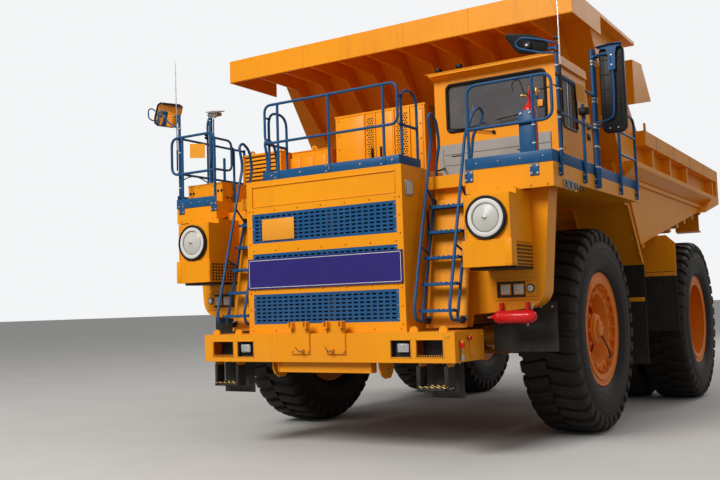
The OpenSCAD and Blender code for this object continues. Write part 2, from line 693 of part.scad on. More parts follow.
// Engine: one plain block between the rails
module engine_block() color(dark_metal) place() {
    block(-500, 500, 1250, 3300, rail_z + 30, 2700);
    both() for (y = [1500, 2900]) block(500, rail_in, y, y + 160, rail_z + 150, rail_z + 330);
}

// Front axle: beam with kingpin bosses and the trailing A frame
boss_r = 110;
boss_z0 = axle_z - 150;
boss_z1 = axle_z + 50;
king_r = 60;
beam_r = 90;
beam_z = axle_z - 60;
barrel_x = 620;
barrel_pin_r = 25;
barrel_y = fa + 180;
steer_z = axle_z - 155;
module front_axle() color(dark_metal) place() difference() {
    union() {
        x_pin(fa, beam_z, beam_r, -kingpin_x + 80, kingpin_x - 80);
        both() {
            translate([kingpin_x, fa, boss_z0]) cylinder(r = boss_r, h = boss_z1 - boss_z0);
            block(1080, 1320, fa - 95, fa + 95, beam_z, axle_z + 80);
            bar([330, fa, beam_z - 10], [70, a_end_y - 60, beam_z - 10], 70);
            block(barrel_x - 60, barrel_x + 30, fa - 60, barrel_y + 50, steer_z - 65, steer_z - 32);
            block(barrel_x - 60, barrel_x + 60, fa - 60, fa + 60, steer_z - 65, beam_z);
            translate([barrel_x, barrel_y, steer_z - 40]) cylinder(r = barrel_pin_r, h = 76);
        }
        block(-120, 120, a_end_y - 160, a_end_y, beam_z - 90, beam_z + 70);
    }
    both() translate([kingpin_x, fa, boss_z0 - 1]) cylinder(r = king_r + pin_gap, h = boss_z1 - boss_z0 + 2);
}

// Front suspension: a gas strut on each side between axle and frame tower
strut_x = 1200;
module front_suspension() color(orange) place() both() {
    translate([strut_x, fa, axle_z + 80]) cylinder(r = 115, h = 620);
    translate([strut_x, fa, axle_z + 700]) cylinder(r = 75, h = tower_z0 - axle_z - 700);
}

// Rear axle: housing, spindles and A frame
spindle_rear_r = 200;
hub_in = rear_track_half - twin_pitch - rim_w / 2 + 60;
hub_out = rear_track_half - rim_w / 2 - 40;
module rear_axle() color(dark_metal) place() {
    x_turn(0, ra, axle_z) polygon([
        [0, -hub_out + 12], [spindle_rear_r, -hub_out + 12], [spindle_rear_r, -hub_in + 20],
            [470, -hub_in + 20],
        [470, -1120], [250, -1100], [250, -480], [430, -300], [430, 300], [250, 480], [250, 1100],
            [470, 1120],
        [470, hub_in - 20], [spindle_rear_r, hub_in - 20], [spindle_rear_r, hub_out - 12], [0, hub_out - 12]
    ]);
    both() {
        bar([330, ra - 200, axle_z], [80, ra - 2060, axle_z + 60], 85);
        block(830, 1030, ra + 200, ra + 540, axle_z - 80, axle_z + 180);
    }
    block(-120, 120, ra - 2150, ra - 1990, axle_z - 30, axle_z + 160);
}

// Rear suspension struts
module rear_suspension() color(orange) place() both() {
    translate([930, ra + 430, axle_z + 180]) cylinder(r = 100, h = 330);
    translate([930, ra + 430, axle_z + 510]) cylinder(r = 65, h = rear_rail_top - 330 - axle_z - 510);
}

// Fuel and hydraulic tanks between the axles
module side_tanks() color(orange) place() both() {
    block(830, 1640, fa + 1757, fa + 2717, axle_z - 70, axle_z + 760);
    for (y = [fa + 1950, fa + 2300]) block(rail_x, 830, y, y + 60, rail_z + 90, rail_z + 460);
}

// Red gas bottle under the left fender and the fire bottle on the left railing
module pressure_bottles() color(bottle_red) place() {
    x_pin(720, 1545, 76, 1870, 2400);
    for (x = [1960, 2270]) block(x, x + 40, 740, fender_y, 1530, 1700);
    translate([2440, 700, deck_z + 100]) cylinder(r = 70, h = 420);
    translate([2440, 700, deck_z + 519]) cylinder(r = 26, h = 110);
    block(2380, 2500, 640, 760, deck_z, deck_z + 101);
}

// Mirror heads
module mirrors() color(rubber_black) place() {
    block(2850, 3150, 2000, 2080, 3690, 4760);
    block(2200, 2650, 735, 805, 4400, 4740);
    mirror([1, 0, 0]) block(2840, 3150, right_mast_y - 35, right_mast_y + 35, 4335, 4700);
}

// Bumper and fender lamps
module lamps() color(lens_white) place() both() {
    block(lamp_hole[0], lamp_hole[1], 8, 100, lamp_hole[2], lamp_hole[3]);
    for (x = [1960, 2110]) block(x, x + 125, fender_y - 40, fender_y - 14, 1780, 1910);
    translate([2310, fender_y - 14, 1850]) rotate([90, 0, 0]) cylinder(r = 48, h = 30);
    for (y = [910, 1055, 1200]) x_pin(y, 2985, 52, deck_half, deck_half + 22);
    block(housing_half, housing_half + 28, 190, 330, 2945, 3120);
}

// Steering knuckle: ears, kingpin, spindle, brake drum and steering arm
ear_t = 100;
ear_gap = 6;
drum_r = 420;
drum_x = kingpin_x + 200;
stud_r = 20;
module knuckle() color(dark_metal) {
    for (z = [boss_z0 - ear_gap - ear_t, boss_z1 + ear_gap]) {
        translate([kingpin_x, fa, z]) cylinder(r = boss_r, h = ear_t);
        block(kingpin_x, drum_x, fa - boss_r, fa + boss_r, z, z + ear_t);
    }
    block(kingpin_x + boss_r + 12, drum_x, fa - boss_r, fa + boss_r, boss_z0 - ear_gap - 1,
        boss_z1 + ear_gap + 1);
    translate([kingpin_x, fa, boss_z0 - 30]) cylinder(r = king_r, h = boss_z1 - boss_z0 + 60);
    x_pin(fa, axle_z, drum_r, drum_x, drum_x + 290);
    x_pin(fa, axle_z, spindle_r, drum_x + 280, front_track_half + 150);
    arm_z = boss_z0 - ear_gap - ear_t;
    block(kingpin_x - 50, kingpin_x + 50, fa, fa + steer_arm, arm_z, arm_z + 60);
    translate([kingpin_x, fa + steer_arm, arm_z]) cylinder(r = 60, h = 60);
    translate([kingpin_x, fa + steer_arm, arm_z - 105]) cylinder(r = stud_r, h = 106);
}
module left_knuckle() place() knuckle();
module right_knuckle() place() mirror([1, 0, 0]) knuckle();

// Tie rod between the steering arms; its right eye is the opened one
tie_z = boss_z0 - ear_gap - ear_t - 54;
module tie_rod() color(dark_metal) place() difference() {
    union() {
        x_pin(fa + steer_arm, tie_z, 32, -kingpin_x + 40, kingpin_x - 40);
        both() translate([kingpin_x, fa + steer_arm, tie_z - 36]) cylinder(r = 52, h = 72);
    }
    translate([kingpin_x, fa + steer_arm, tie_z - 60]) cylinder(r = stud_r + pin_gap, h = 120);
    translate([-kingpin_x, fa + steer_arm, tie_z - 60]) cylinder(r = stud_r + 6, h = 120);
}

// Steering cylinders, drawn along their own axis from the barrel's eye
steer_eye_y = fa + 300;
steer_len = norm([kingpin_x - barrel_x, steer_eye_y - barrel_y]);
steer_angle = atan2(steer_eye_y - barrel_y, kingpin_x - barrel_x);
steer_bore_r = 35;
module steer_axis() translate([barrel_x, barrel_y, steer_z]) rotate([0, 0, steer_angle]) children();
module steering_barrel() color(dark_metal) steer_axis() difference() {
    union() {
        translate([0, 0, -30]) cylinder(r = 50, h = 60);
        x_pin(0, 0, 50, 45, steer_len - 330);
    }
    translate([0, 0, -40]) cylinder(r = barrel_pin_r + pin_gap, h = 80);
    x_pin(0, 0, steer_bore_r + pin_gap, 90, steer_len);
}
module steering_rod() color(rod_steel) steer_axis() {
    x_pin(0, 0, steer_bore_r, 300, steer_len - 40);
    translate([steer_len, 0, -28]) cylinder(r = 50, h = 56);
    translate([steer_len, 0, -35]) cylinder(r = stud_r, h = 75);
}
module left_steering_barrel() place() steering_barrel();
module right_steering_barrel() place() mirror([1, 0, 0]) steering_barrel();
module left_steering_rod() place() steering_rod();
module right_steering_rod() place() mirror([1, 0, 0]) steering_rod();

// Wheels: half sections as [radius, across] turned about the axle
shoulder_r = 85;
tread_half = 360;
bead_half = rim_w / 2 - 20;
module tyre_section() difference() {
    union() {
        translate([980, -tread_half + shoulder_r]) square([tyre_r - 980, 2 * (tread_half - shoulder_r)]);
        translate([980, -tread_half]) square([tyre_r - 980 - shoulder_r, 2 * tread_half]);
        for (y = [-1, 1]) translate([tyre_r - shoulder_r, y * (tread_half - shoulder_r)])
            circle(r = shoulder_r);
        intersection() {
            translate([960, 0]) circle(r = tyre_w / 2);
            translate([rim_r + 3, -tyre_w / 2]) square([1180 - rim_r, tyre_w]);
        }
    }
    for (s = [0, 1]) mirror([0, s]) translate([rim_r - 10, bead_half]) square([flange_r - rim_r + 14, 200]);
}
module rim_section() {
    translate([rim_r - 32, -rim_w / 2]) square([32, rim_w]);
    for (y = [-rim_w / 2, rim_w / 2 - 20]) translate([rim_r - 32, y]) square([flange_r - rim_r + 32, 20]);
}
web_y = 60;
hub_r = 190;
module front_rim_section() {
    rim_section();
    polygon([[hub_r - 20, -100], [hub_r, -100], [hub_r + 20, web_y - 60], [rim_r - 180, web_y - 60],
        [rim_r - 30, web_y + 60],
        [rim_r - 30, web_y + 100], [rim_r - 190, web_y - 20], [hub_r + 20, web_y - 20], [hub_r, 250],
            [150, 270],
        [0, 270], [0, 200], [spindle_r + pin_gap, 200], [spindle_r + pin_gap, -100]]);
}
module front_rim() color(orange) x_turn(front_track_half, fa, axle_z) front_rim_section();
module front_tyre() color(rubber_black) x_turn(front_track_half, fa, axle_z) tyre_section();
module front_left_rim() place() front_rim();
module front_right_rim() place() mirror([1, 0, 0]) front_rim();
module front_left_tyre() place() front_tyre();
module front_right_tyre() place() mirror([1, 0, 0]) front_tyre();

inner_x = rear_track_half - twin_pitch;
module rear_rims() color(orange) {
    x_turn(inner_x, ra, axle_z) rim_section();
    x_turn(rear_track_half, ra, axle_z) rim_section();
    x_turn(0, ra, axle_z) {
        translate([rim_r - 32, inner_x + rim_w / 2 - 1]) square([32, twin_pitch - rim_w + 2]);
        polygon([[spindle_rear_r + pin_gap, hub_in], [300, hub_in], [300, hub_out - 60],
            [rim_r - 20, hub_out - 60],
            [rim_r - 20, hub_out], [400, hub_out], [380, hub_out + 170], [250, hub_out + 200],
                [230, hub_out + 250],
            [0, hub_out + 250], [0, hub_out], [spindle_rear_r + pin_gap, hub_out]]);
    }
}
module rear_tyres() color(rubber_black) for (x = [inner_x, rear_track_half]) x_turn(x, ra, axle_z)
    tyre_section();
module rear_left_rims() place() rear_rims();
module rear_right_rims() place() mirror([1, 0, 0]) rear_rims();
module rear_left_tyres() place() rear_tyres();
module rear_right_tyres() place() mirror([1, 0, 0]) rear_tyres();

// Bed floor: plate, cross ribs, the two long bolsters with the tipping bosses, and the hoist brackets
bed_in = bed_half - side_plate_t;
head_t = 50;
rib_h = 120;
rib_w = 150;
floor_ribs = [-2150, -1500, -350, 250, 850, 1550, 2250, 2786];
eye_y = tip_y - 2050;
eye_z = floor_at(eye_y) - 200;
boss_tip_r = 130;
bolster_in = rail_in + lug_t + move_gap;
bolster_out = rail_x - lug_t - move_gap;
bolster_y = ra - 1560;
module bed_floor() color(orange) place() {
    side_cut([[foot_y + head_t, floor_at(foot_y + head_t)], [tail_y, floor_at(tail_y)],
        [tail_y, floor_at(tail_y) + bed_plate], [foot_y + head_t, floor_at(foot_y + head_t) + bed_plate]],
        -bed_in, bed_in);
    for (y = [for (d = floor_ribs) ra + d])
        difference() {
            side_cut([[y, floor_at(y) - rib_h], [y + rib_w, floor_at(y + rib_w) - rib_h],
                [y + rib_w, floor_at(y + rib_w) + 1], [y, floor_at(y) + 1]], -bed_in + 60, bed_in - 60);
            both() block(bolster_in, bolster_out, bolster_y, rail_end_y, tip_z - 500, floor_at(tail_y));
        }
}

// The two bolsters that the bed tips on, and the cheeks that hold the hoist rods' eyes
module bed_bolsters() color(orange) place() both() {
    difference() {
        union() {
            side_cut([[bolster_y, rear_rail_top + move_gap], [tip_y - 160, rear_rail_top + move_gap],
                [tip_y, tip_z - boss_tip_r], [tip_y + boss_tip_r, tip_z],
                    [rail_end_y, floor_at(rail_end_y) - seat_gap],
                [bolster_y, floor_at(bolster_y) - seat_gap]], bolster_in, bolster_out);
            x_pin(tip_y, tip_z, boss_tip_r, bolster_in, bolster_out);
        }
        x_pin(tip_y, tip_z, tip_pin_r + pin_gap, bolster_in - 1, bolster_out + 1);
    }
    for (x = [hoist_x - eye_half - 30, hoist_x + eye_half + 6])
        side_cut([[eye_y - 130, floor_at(eye_y - 130) - seat_gap],
            [eye_y + 130, floor_at(eye_y + 130) - seat_gap],
            [eye_y + 60, eye_z - 60], [eye_y - 60, eye_z - 60]], x, x + 24);
}

// Bed sides: plate, top rail, ribs, the sloping ledge and the wing at the canopy
ledge_z = 3660;
top_rail_h = 220;
side_ribs = [2357, 3487, 4727, 7007];
wing_z = 5390;
module bed_side() {
    side_cut([[foot_y, bed_foot_z], [tail_y, floor_at(tail_y)], [tail_y, bed_top_z], [fa + 2077, bed_top_z],
        [fa + 1597, 4560], [fa + 1407, 5100], [fa + 1407, wing_z], [head_y(wing_z), wing_z]], bed_in,
            bed_half);
    block(bed_half - 1, bed_rail_half, fa + 1850, tail_y, bed_top_z - top_rail_h, bed_top_z);
    front_cut([[bed_half - 1, ledge_z - 210], [bed_rail_half, ledge_z - 70], [bed_rail_half, ledge_z],
        [bed_half - 1, ledge_z]], fa + 1200, tail_y);
    block(bed_half - 1, bed_half + 30, fa + 1500, tail_y - 500, ledge_z - 280, ledge_z - 220);
    for (d = side_ribs)
        block(bed_half - 1, bed_rail_half - 25, fa + d - 45, fa + d + 45, ledge_z - 1,
            bed_top_z - top_rail_h + 1);
    side_cut([[tail_y - 1400, floor_at(tail_y - 1400)], [tail_y, floor_at(tail_y)], [tail_y, ledge_z - 69],
        [tail_y - 700, ledge_z - 69]], bed_half - 1, bed_rail_half);
    side_cut([[tail_y - 190, ledge_z - 1], [tail_y, ledge_z - 1], [tail_y, bed_top_z - 1],
        [tail_y - 130, bed_top_z - 1]],
        bed_half - 1, bed_rail_half);
    side_cut([[fa + 1350, 4495], [fa + 2327, 4710], [fa + 1852, 5190], [fa + 1350, 5150]], bed_half - 1,
        bed_rail_half);
}
module bed_sides() color(orange) place() both() bed_side();

// Headboard with its front gussets
gusset_x = [235, 705, 1175, 1645, 2115];
gusset_t = 25;
module bed_headboard() color(orange) place() {
    side_cut([[foot_y, bed_foot_z], [foot_y + head_t, floor_at(foot_y + head_t)],
        [foot_y + head_t, floor_at(foot_y + head_t) + bed_plate],
        [head_y(wing_z) + head_t, wing_z], [head_y(wing_z), wing_z]], -bed_in, bed_in);
    both() for (x = gusset_x)
        side_cut([[head_y(canopy_z) - 350, canopy_z], [head_y(canopy_z) + 1, canopy_z],
            [head_y(4200) + 1, 4200]], x, x + gusset_t);
    for (z = [2900, 3500, 4100])
        side_cut([[head_y(z), z], [head_y(z) - 110, z], [head_y(z + 140) - 110, z + 140],
            [head_y(z + 140), z + 140]],
            -bed_in + 80, bed_in - 80);
}

// Canopy over the cab: plate, front board, side boards and long ribs underneath
canopy_t = 50;
board_t = 20;
module bed_canopy() color(orange) place() {
    block(-bed_rail_half, bed_rail_half, canopy_y + board_t, head_y(wing_z) + head_t, wing_z,
        wing_z + canopy_t);
    block(-bed_rail_half, bed_rail_half, canopy_y, canopy_y + board_t, canopy_z, canopy_z + canopy_h);
    both() {
        block(bed_in, bed_rail_half, head_y(wing_z), fa + 1507, wing_z, wing_z + canopy_t);
        block(bed_rail_half - board_t, bed_rail_half, canopy_y + board_t, head_y(wing_z), canopy_z,
            wing_z + 1);
        for (x = gusset_x)
            side_cut([[canopy_y + board_t, canopy_z], [head_y(canopy_z) - seat_gap, canopy_z],
                [head_y(wing_z) - seat_gap, wing_z],
                [canopy_y + board_t, wing_z]], x, x + gusset_t);
    }
}

// Guards that hang from the bed before and behind the rear wheels
guard_y = ra - 1584;
module bed_guards() color(orange) place() both() {
    front_cut([[1700, 2108], [2768, 2108], [2768, 2556], [2635, floor_at(guard_y)],
        [1700, floor_at(guard_y)]],
        guard_y, guard_y + 20);
    side_cut([[tail_y - 470, floor_at(tail_y - 470)], [tail_y - 455, floor_at(tail_y - 455)],
        [tail_y - 455, 3015],
        [tail_y - 300, 2990], [tail_y - 300, 2975], [tail_y - 470, 3000]], 1900, 2350);
}
module bed_flaps() color(rubber_black) place() both()
    block(1750, 2768, guard_y, guard_y + 20, 1180, 2108);

// Hoist: a two stage cylinder on each side; its rod's eye is the opened one
hoist_len = norm([eye_y - hoist_y, eye_z - hoist_z]);
hoist_angle = atan2(eye_y - hoist_y, eye_z - hoist_z);
hoist_r = [130, 105, 80];
barrel_len = 1010;
module hoist_axis() translate([hoist_x, hoist_y, hoist_z]) rotate([-hoist_angle, 0, 0]) children();
module hoist_barrel() color(dark_metal) hoist_axis() difference() {
    union() {
        x_pin(0, 0, 100, -eye_half, eye_half);
        translate([0, 0, 60]) cylinder(r = hoist_r[0], h = barrel_len - 60);
    }
    x_pin(0, 0, hoist_pin_r + pin_gap, -200, 200);
    translate([0, 0, 120]) cylinder(r = hoist_r[1] + pin_gap, h = barrel_len);
}
module hoist_stage() color(rod_steel) hoist_axis() difference() {
    translate([0, 0, 130]) cylinder(r = hoist_r[1], h = barrel_len - 90);
    translate([0, 0, 150]) cylinder(r = hoist_r[2] + pin_gap, h = barrel_len);
}
module hoist_rod() color(rod_steel) hoist_axis() {
    translate([0, 0, 160]) cylinder(r = hoist_r[2], h = hoist_len - 310);
    translate([0, 0, 160]) cylinder(r = eye_half, h = hoist_len - 190);
    x_pin(0, hoist_len, 62, -eye_half, eye_half);
}
module left_hoist_barrel() place() hoist_barrel();
module right_hoist_barrel() place() mirror([1, 0, 0]) hoist_barrel();
module left_hoist_stage() place() hoist_stage();
module right_hoist_stage() place() mirror([1, 0, 0]) hoist_stage();
module left_hoist_rod() place() hoist_rod();
module right_hoist_rod() place() mirror([1, 0, 0]) hoist_rod();

frame();
frame_cross_members();
front_bumper();
bumper_steps();
radiator_housing();
radiator_grilles();
radiator_core();
front_board();
deck();
fenders();
mud_flaps();
air_cleaners();
air_cleaner_discs();
ladders();
railings();
electrical_cabinet();
deck_boxes();
cab_shell();
cab_mounts();
cab_front_panel();
cab_glass();
cab_interior();
engine_block();
front_axle();
front_suspension();
rear_axle();
rear_suspension();
side_tanks();
pressure_bottles();
mirrors();
lamps();
left_knuckle();
right_knuckle();
tie_rod();
left_steering_barrel();
right_steering_barrel();
left_steering_rod();
right_steering_rod();
front_left_rim();
front_right_rim();
front_left_tyre();
front_right_tyre();
rear_left_rims();
rear_right_rims();
rear_left_tyres();
rear_right_tyres();
cab_door();
bed_floor();
bed_bolsters();
bed_sides();
bed_headboard();
bed_canopy();
bed_guards();
bed_flaps();
left_hoist_barrel();
right_hoist_barrel();
left_hoist_stage();
right_hoist_stage();
left_hoist_rod();
right_hoist_rod();
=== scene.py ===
import math

import bmesh
import bpy
import numpy as np
from mathutils import Matrix, Vector


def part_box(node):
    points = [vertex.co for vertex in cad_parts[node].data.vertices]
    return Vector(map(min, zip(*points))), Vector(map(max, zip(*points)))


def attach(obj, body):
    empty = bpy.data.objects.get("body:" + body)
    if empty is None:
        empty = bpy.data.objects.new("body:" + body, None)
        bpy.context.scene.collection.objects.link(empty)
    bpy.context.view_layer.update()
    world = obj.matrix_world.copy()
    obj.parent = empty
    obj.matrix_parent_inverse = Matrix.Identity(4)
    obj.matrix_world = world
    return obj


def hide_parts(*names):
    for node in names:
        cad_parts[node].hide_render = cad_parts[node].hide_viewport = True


bl_info = {
    "name": "Mining Dump Truck",
    "version": (1, 0, 0),
    "blender": (4, 5, 0),
    "location": "3D View > Sidebar > Dump Truck",
    "description": "Finishes a rigid mining dump truck: materials, tyres, lamps, bolts, trim, stage",
    "category": "Object",
}

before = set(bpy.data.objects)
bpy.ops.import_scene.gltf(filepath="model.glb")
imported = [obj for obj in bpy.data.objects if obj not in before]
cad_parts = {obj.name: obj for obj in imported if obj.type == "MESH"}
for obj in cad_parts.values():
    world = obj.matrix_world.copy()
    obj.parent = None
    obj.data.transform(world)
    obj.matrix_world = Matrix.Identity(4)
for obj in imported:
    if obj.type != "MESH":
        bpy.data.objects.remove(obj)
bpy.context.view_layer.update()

# Places read from the frame. FACE is the y of the bumper's face: y values are given as distances behind it.
BOARD_BACK = 0.113
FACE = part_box("front_board")[1].y - BOARD_BACK
TYRE_LOW, TYRE_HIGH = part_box("front_left_tyre")
TWINS_LOW, TWINS_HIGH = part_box("rear_left_tyres")
AXLE_Z = (TYRE_LOW.z + TYRE_HIGH.z) / 2
TYRE_R = (TYRE_HIGH.z - TYRE_LOW.z) / 2
TYRE_W = TYRE_HIGH.x - TYRE_LOW.x
FRONT_X = (TYRE_LOW.x + TYRE_HIGH.x) / 2
FRONT_Y = (TYRE_LOW.y + TYRE_HIGH.y) / 2
REAR_Y = (TWINS_LOW.y + TWINS_HIGH.y) / 2
OUTER_X = TWINS_HIGH.x - TYRE_W / 2
INNER_X = TWINS_LOW.x + TYRE_W / 2
TYRE_SIDES = 144
# Depths below the tread: of what counts as a lug's top, and of where the sidewall starts, with its fade
LUG_TOP, WALL_START, WALL_FADE = 0.035, 0.1, 0.05

# The camera, solved from the photograph: yaw, pitch, roll in degrees; x, distance behind the bumper, height
CAMERA_TURN = (32.067, 4.35, -1.803)
CAMERA_PLACE = (5.939, -8.5, 1.698)
CAMERA_LENS, SENSOR_WIDTH = 44.25, 36.0
FLOOR_SIZE = 400
SKY_STRENGTH = 0.38
LAMP_COLOUR = (1.0, 0.98, 0.95)


def colour(name, words, value):
    return bpy.props.FloatVectorProperty(
        name=name, description=words, subtype="COLOR", size=3, min=0, max=1, default=value
    )


def length(name, words, value):
    return bpy.props.FloatProperty(name=name, description=words, default=value, unit="LENGTH", min=0)


class TruckColours(bpy.types.PropertyGroup):
    paint: colour("Paint", "Orange body paint", (0.93, 0.345, 0.004))
    blue: colour("Rails", "Blue of rails, ladders and grilles", (0.01, 0.088, 0.23))
    board: colour("Board", "Dark plate across the middle grille", (0.03, 0.022, 0.18))
    panel: colour("Cab panel", "Grey panel below the windscreen", (0.36, 0.365, 0.35))
    bottle: colour("Bottles", "Red gas and fire bottles", (0.72, 0.01, 0.012))
    dust: colour("Dust", "Pale road dust", (0.4, 0.33, 0.26))
    rubber: colour("Rubber", "Tyres and flaps", (0.013, 0.012, 0.011))
    steel: colour("Castings", "Dirty axle castings", (0.055, 0.045, 0.038))


class TruckSizes(bpy.types.PropertyGroup):
    lugs: bpy.props.IntProperty(
        name="Lugs", description="Tread lugs on one side of a tyre", default=38, min=12, max=80
    )
    groove: length("Groove", "Depth of the tread grooves", 0.052)
    clamps: bpy.props.IntProperty(
        name="Clamps", description="Clamps that hold a rim on its wheel", default=20, min=6, max=40
    )


# Small helpers for meshes
def at(x, y, z):
    """A point given by its distance behind the bumper's face."""
    return Vector((x, FACE + y, z))


def placed(name, data):
    """A new object of the scene."""
    obj = bpy.data.objects.new(name, data)
    bpy.context.scene.collection.objects.link(obj)
    return obj


def new_piece(name, mesh, body, slot, smooth):
    """A piece that rides on a body, smooth up to an angle in degrees."""
    obj = placed(name, mesh)
    mesh.shade_smooth()
    mesh.set_sharp_from_angle(angle=math.radians(smooth))
    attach(obj, body)
    return obj


def mesh_of(name, bm, materials=()):
    bmesh.ops.recalc_face_normals(bm, faces=bm.faces)
    mesh = bpy.data.meshes.new(name)
    bm.to_mesh(mesh)
    bm.free()
    for m in materials:
        mesh.materials.append(m)
    return mesh


def add_box(bm, lo, hi, bevel=0.0, index=0, segments=2):
    """A box between two corners, with bevelled edges."""
    lo, hi = Vector(lo), Vector(hi)
    made = bmesh.ops.create_cube(bm, size=1.0)["verts"]
    for v in made:
        v.co = Vector(((lo[i] + hi[i]) / 2 + v.co[i] * (hi[i] - lo[i]) for i in range(3)))
    for f in {f for v in made for f in v.link_faces}:
        f.material_index = index
    if bevel:
        edges = {e for v in made for e in v.link_edges}
        bmesh.ops.bevel(bm, geom=list(edges), offset=bevel, segments=segments, profile=0.5, affect="EDGES",
                        material=index)


def add_rod(bm, a, b, r, sides=12, index=0, r2=None):
    """A round bar from a to b."""
    a, b = Vector(a), Vector(b)
    d = b - a
    turn = d.to_track_quat("Z", "Y").to_matrix().to_4x4()
    place = Matrix.Translation((a + b) / 2) @ turn
    made = bmesh.ops.create_cone(
        bm, cap_ends=True, segments=sides, radius1=r, radius2=r if r2 is None else r2, depth=d.length,
        matrix=place
    )["verts"]
    for f in {f for v in made for f in v.link_faces}:
        f.material_index = index


def add_turned(bm, profile, centre, axis, sides=48, index=0, closed=False):
    """A profile of (radius, along) turned round an axis through centre. closed joins its two ends."""
    turn = Vector(axis).to_track_quat("Z", "Y").to_matrix()
    rings = []
    for r, h in profile:
        if r < 1e-6:
            rings.append([bm.verts.new(turn @ Vector((0, 0, h)) + Vector(centre))])
            continue
        rings.append([
            bm.verts.new(turn @ Vector((r * math.cos(t), r * math.sin(t), h)) + Vector(centre))
            for t in (2 * math.pi * i / sides for i in range(sides))
        ])
    pairs = list(zip(rings, rings[1:])) + ([(rings[-1], rings[0])] if closed else [])
    for p, q in pairs:
        for i in range(sides):
            j = (i + 1) % sides
            ring = [p[i % len(p)], p[j % len(p)], q[j % len(q)], q[i % len(q)]]
            ring = list(dict.fromkeys(ring))
            if len(ring) > 2:
                face = bm.faces.new(ring)
                face.material_index = index
                face.smooth = True


def tube_mesh(name, points, r, material, sides=10, smooth_path=True, cyclic=False):
    """A round tube along points, from a bevelled curve."""
    curve = bpy.data.curves.new(name, "CURVE")
    curve.dimensions = "3D"
    curve.bevel_depth = r
    curve.bevel_resolution = max(1, sides // 4)
    curve.use_fill_caps = not cyclic
    curve.resolution_u = 8
    spline = curve.splines.new("BEZIER" if smooth_path else "POLY")
    if smooth_path:
        spline.bezier_points.add(len(points) - 1)
        for bp, p in zip(spline.bezier_points, points):
            bp.co = p
            bp.handle_left_type = bp.handle_right_type = "AUTO"
    else:
        spline.points.add(len(points) - 1)
        for sp, p in zip(spline.points, points):
            sp.co = (*p, 1)
    spline.use_cyclic_u = cyclic
    mesh = baked_mesh(placed(name + "_curve", curve), name)
    mesh.materials.clear()
    mesh.materials.append(material)
    return mesh


def join_meshes(name, meshes):
    """One mesh of several, with their materials."""
    bm = bmesh.new()
    materials = []
    for mesh in meshes:
        index = []
        for m in mesh.materials:
            if m not in materials:
                materials.append(m)
            index.append(materials.index(m))
        start = len(bm.faces)
        bm.from_mesh(mesh)
        bm.faces.ensure_lookup_table()
        for f in bm.faces[start:]:
            f.material_index = index[f.material_index] if index else 0
    out = bpy.data.meshes.new(name)
    bm.to_mesh(out)
    bm.free()
    for m in materials:
        out.materials.append(m)
    return out


# Node trees
class Nodes:
    """Adds and links nodes of a tree."""

    def __init__(self, tree):
        self.tree = tree

    def feed(self, n, inputs):
        """Sets a node's inputs: a socket is linked to, any other value is set."""
        for k, v in inputs.items():
            if isinstance(v, bpy.types.NodeSocket):
                self.tree.links.new(v, n.inputs[k])
            else:
                n.inputs[k].default_value = v
        return n

    def node(self, kind, inputs=None, **settings):
        n = self.tree.nodes.new(kind)
        for k, v in settings.items():
            setattr(n, k, v)
        return self.feed(n, inputs or {})


def new_tree(name, kind, inputs, outputs):
    """A node group with named inputs and outputs, and its two end nodes."""
    tree = bpy.data.node_groups.new(name, kind)
    for label, socket, default in inputs:
        s = tree.interface.new_socket(label, in_out="INPUT", socket_type="NodeSocket" + socket)
        if default is not None:
            s.default_value = default
    for label, socket in outputs:
        tree.interface.new_socket(label, in_out="OUTPUT", socket_type="NodeSocket" + socket)
    return tree, tree.nodes.new("NodeGroupInput").outputs, tree.nodes.new("NodeGroupOutput")


def modify(obj, tree, values):
    """Adds the tree as a modifier and sets its inputs by the sockets' identifiers."""
    mod = obj.modifiers.new(tree.name, "NODES")
    mod.node_group = tree
    ids = {i.name: i.identifier for i in tree.interface.items_tree if i.in_out == "INPUT"}
    for label, value in values.items():
        mod[ids[label]] = value
    return mod


def baked_mesh(obj, name):
    """The evaluated mesh of an object, which is then removed."""
    bpy.context.view_layer.update()
    deps = bpy.context.evaluated_depsgraph_get()
    mesh = bpy.data.meshes.new_from_object(obj.evaluated_get(deps))
    mesh.name = name
    bpy.data.objects.remove(obj)
    return mesh


def copies_tree(name, inputs, points_of, turn_of):
    """A tree that puts the shape of its input on points, turned, and paints the copies."""
    tree, given, end = new_tree(
        name, "GeometryNodeTree",
        [("Geometry", "Geometry", None), ("Shape", "Object", None), *inputs, ("Material", "Material", None)],
        [("Geometry", "Geometry")])
    g = Nodes(tree)
    shape = g.node("GeometryNodeObjectInfo", {"Object": given["Shape"]}).outputs["Geometry"]
    put = g.node("GeometryNodeInstanceOnPoints",
                 {"Points": points_of(g, given), "Instance": shape, **turn_of(g, given)})
    real = g.node("GeometryNodeRealizeInstances", {"Geometry": put.outputs[0]})
    paint = g.node("GeometryNodeSetMaterial", {"Geometry": real.outputs[0], "Material": given["Material"]})
    g.feed(end, {"Geometry": paint.outputs[0]})
    return tree


def scatter_turn(g, given):
    """The turn and the size from each point's aim, side and size."""
    aim, side, size = (
        g.node("GeometryNodeInputNamedAttribute", {"Name": name}, data_type=kind).outputs["Attribute"]
        for name, kind in (("aim", "FLOAT_VECTOR"), ("side", "FLOAT_VECTOR"), ("size", "FLOAT")))
    turn = g.node("FunctionNodeAxesToRotation", {"Primary Axis": aim, "Secondary Axis": side},
                  primary_axis="Z", secondary_axis="X")
    return {"Rotation": turn.outputs[0],
            "Scale": g.node("ShaderNodeMath", {0: size, 1: given["Size"]}, operation="MULTIPLY").outputs[0]}


def ring_points(g, given):
    line = g.node("GeometryNodeMeshLine", {"Offset": (0, 0, 0), "Count": given["Count"]}, mode="OFFSET")
    return line.outputs["Mesh"]


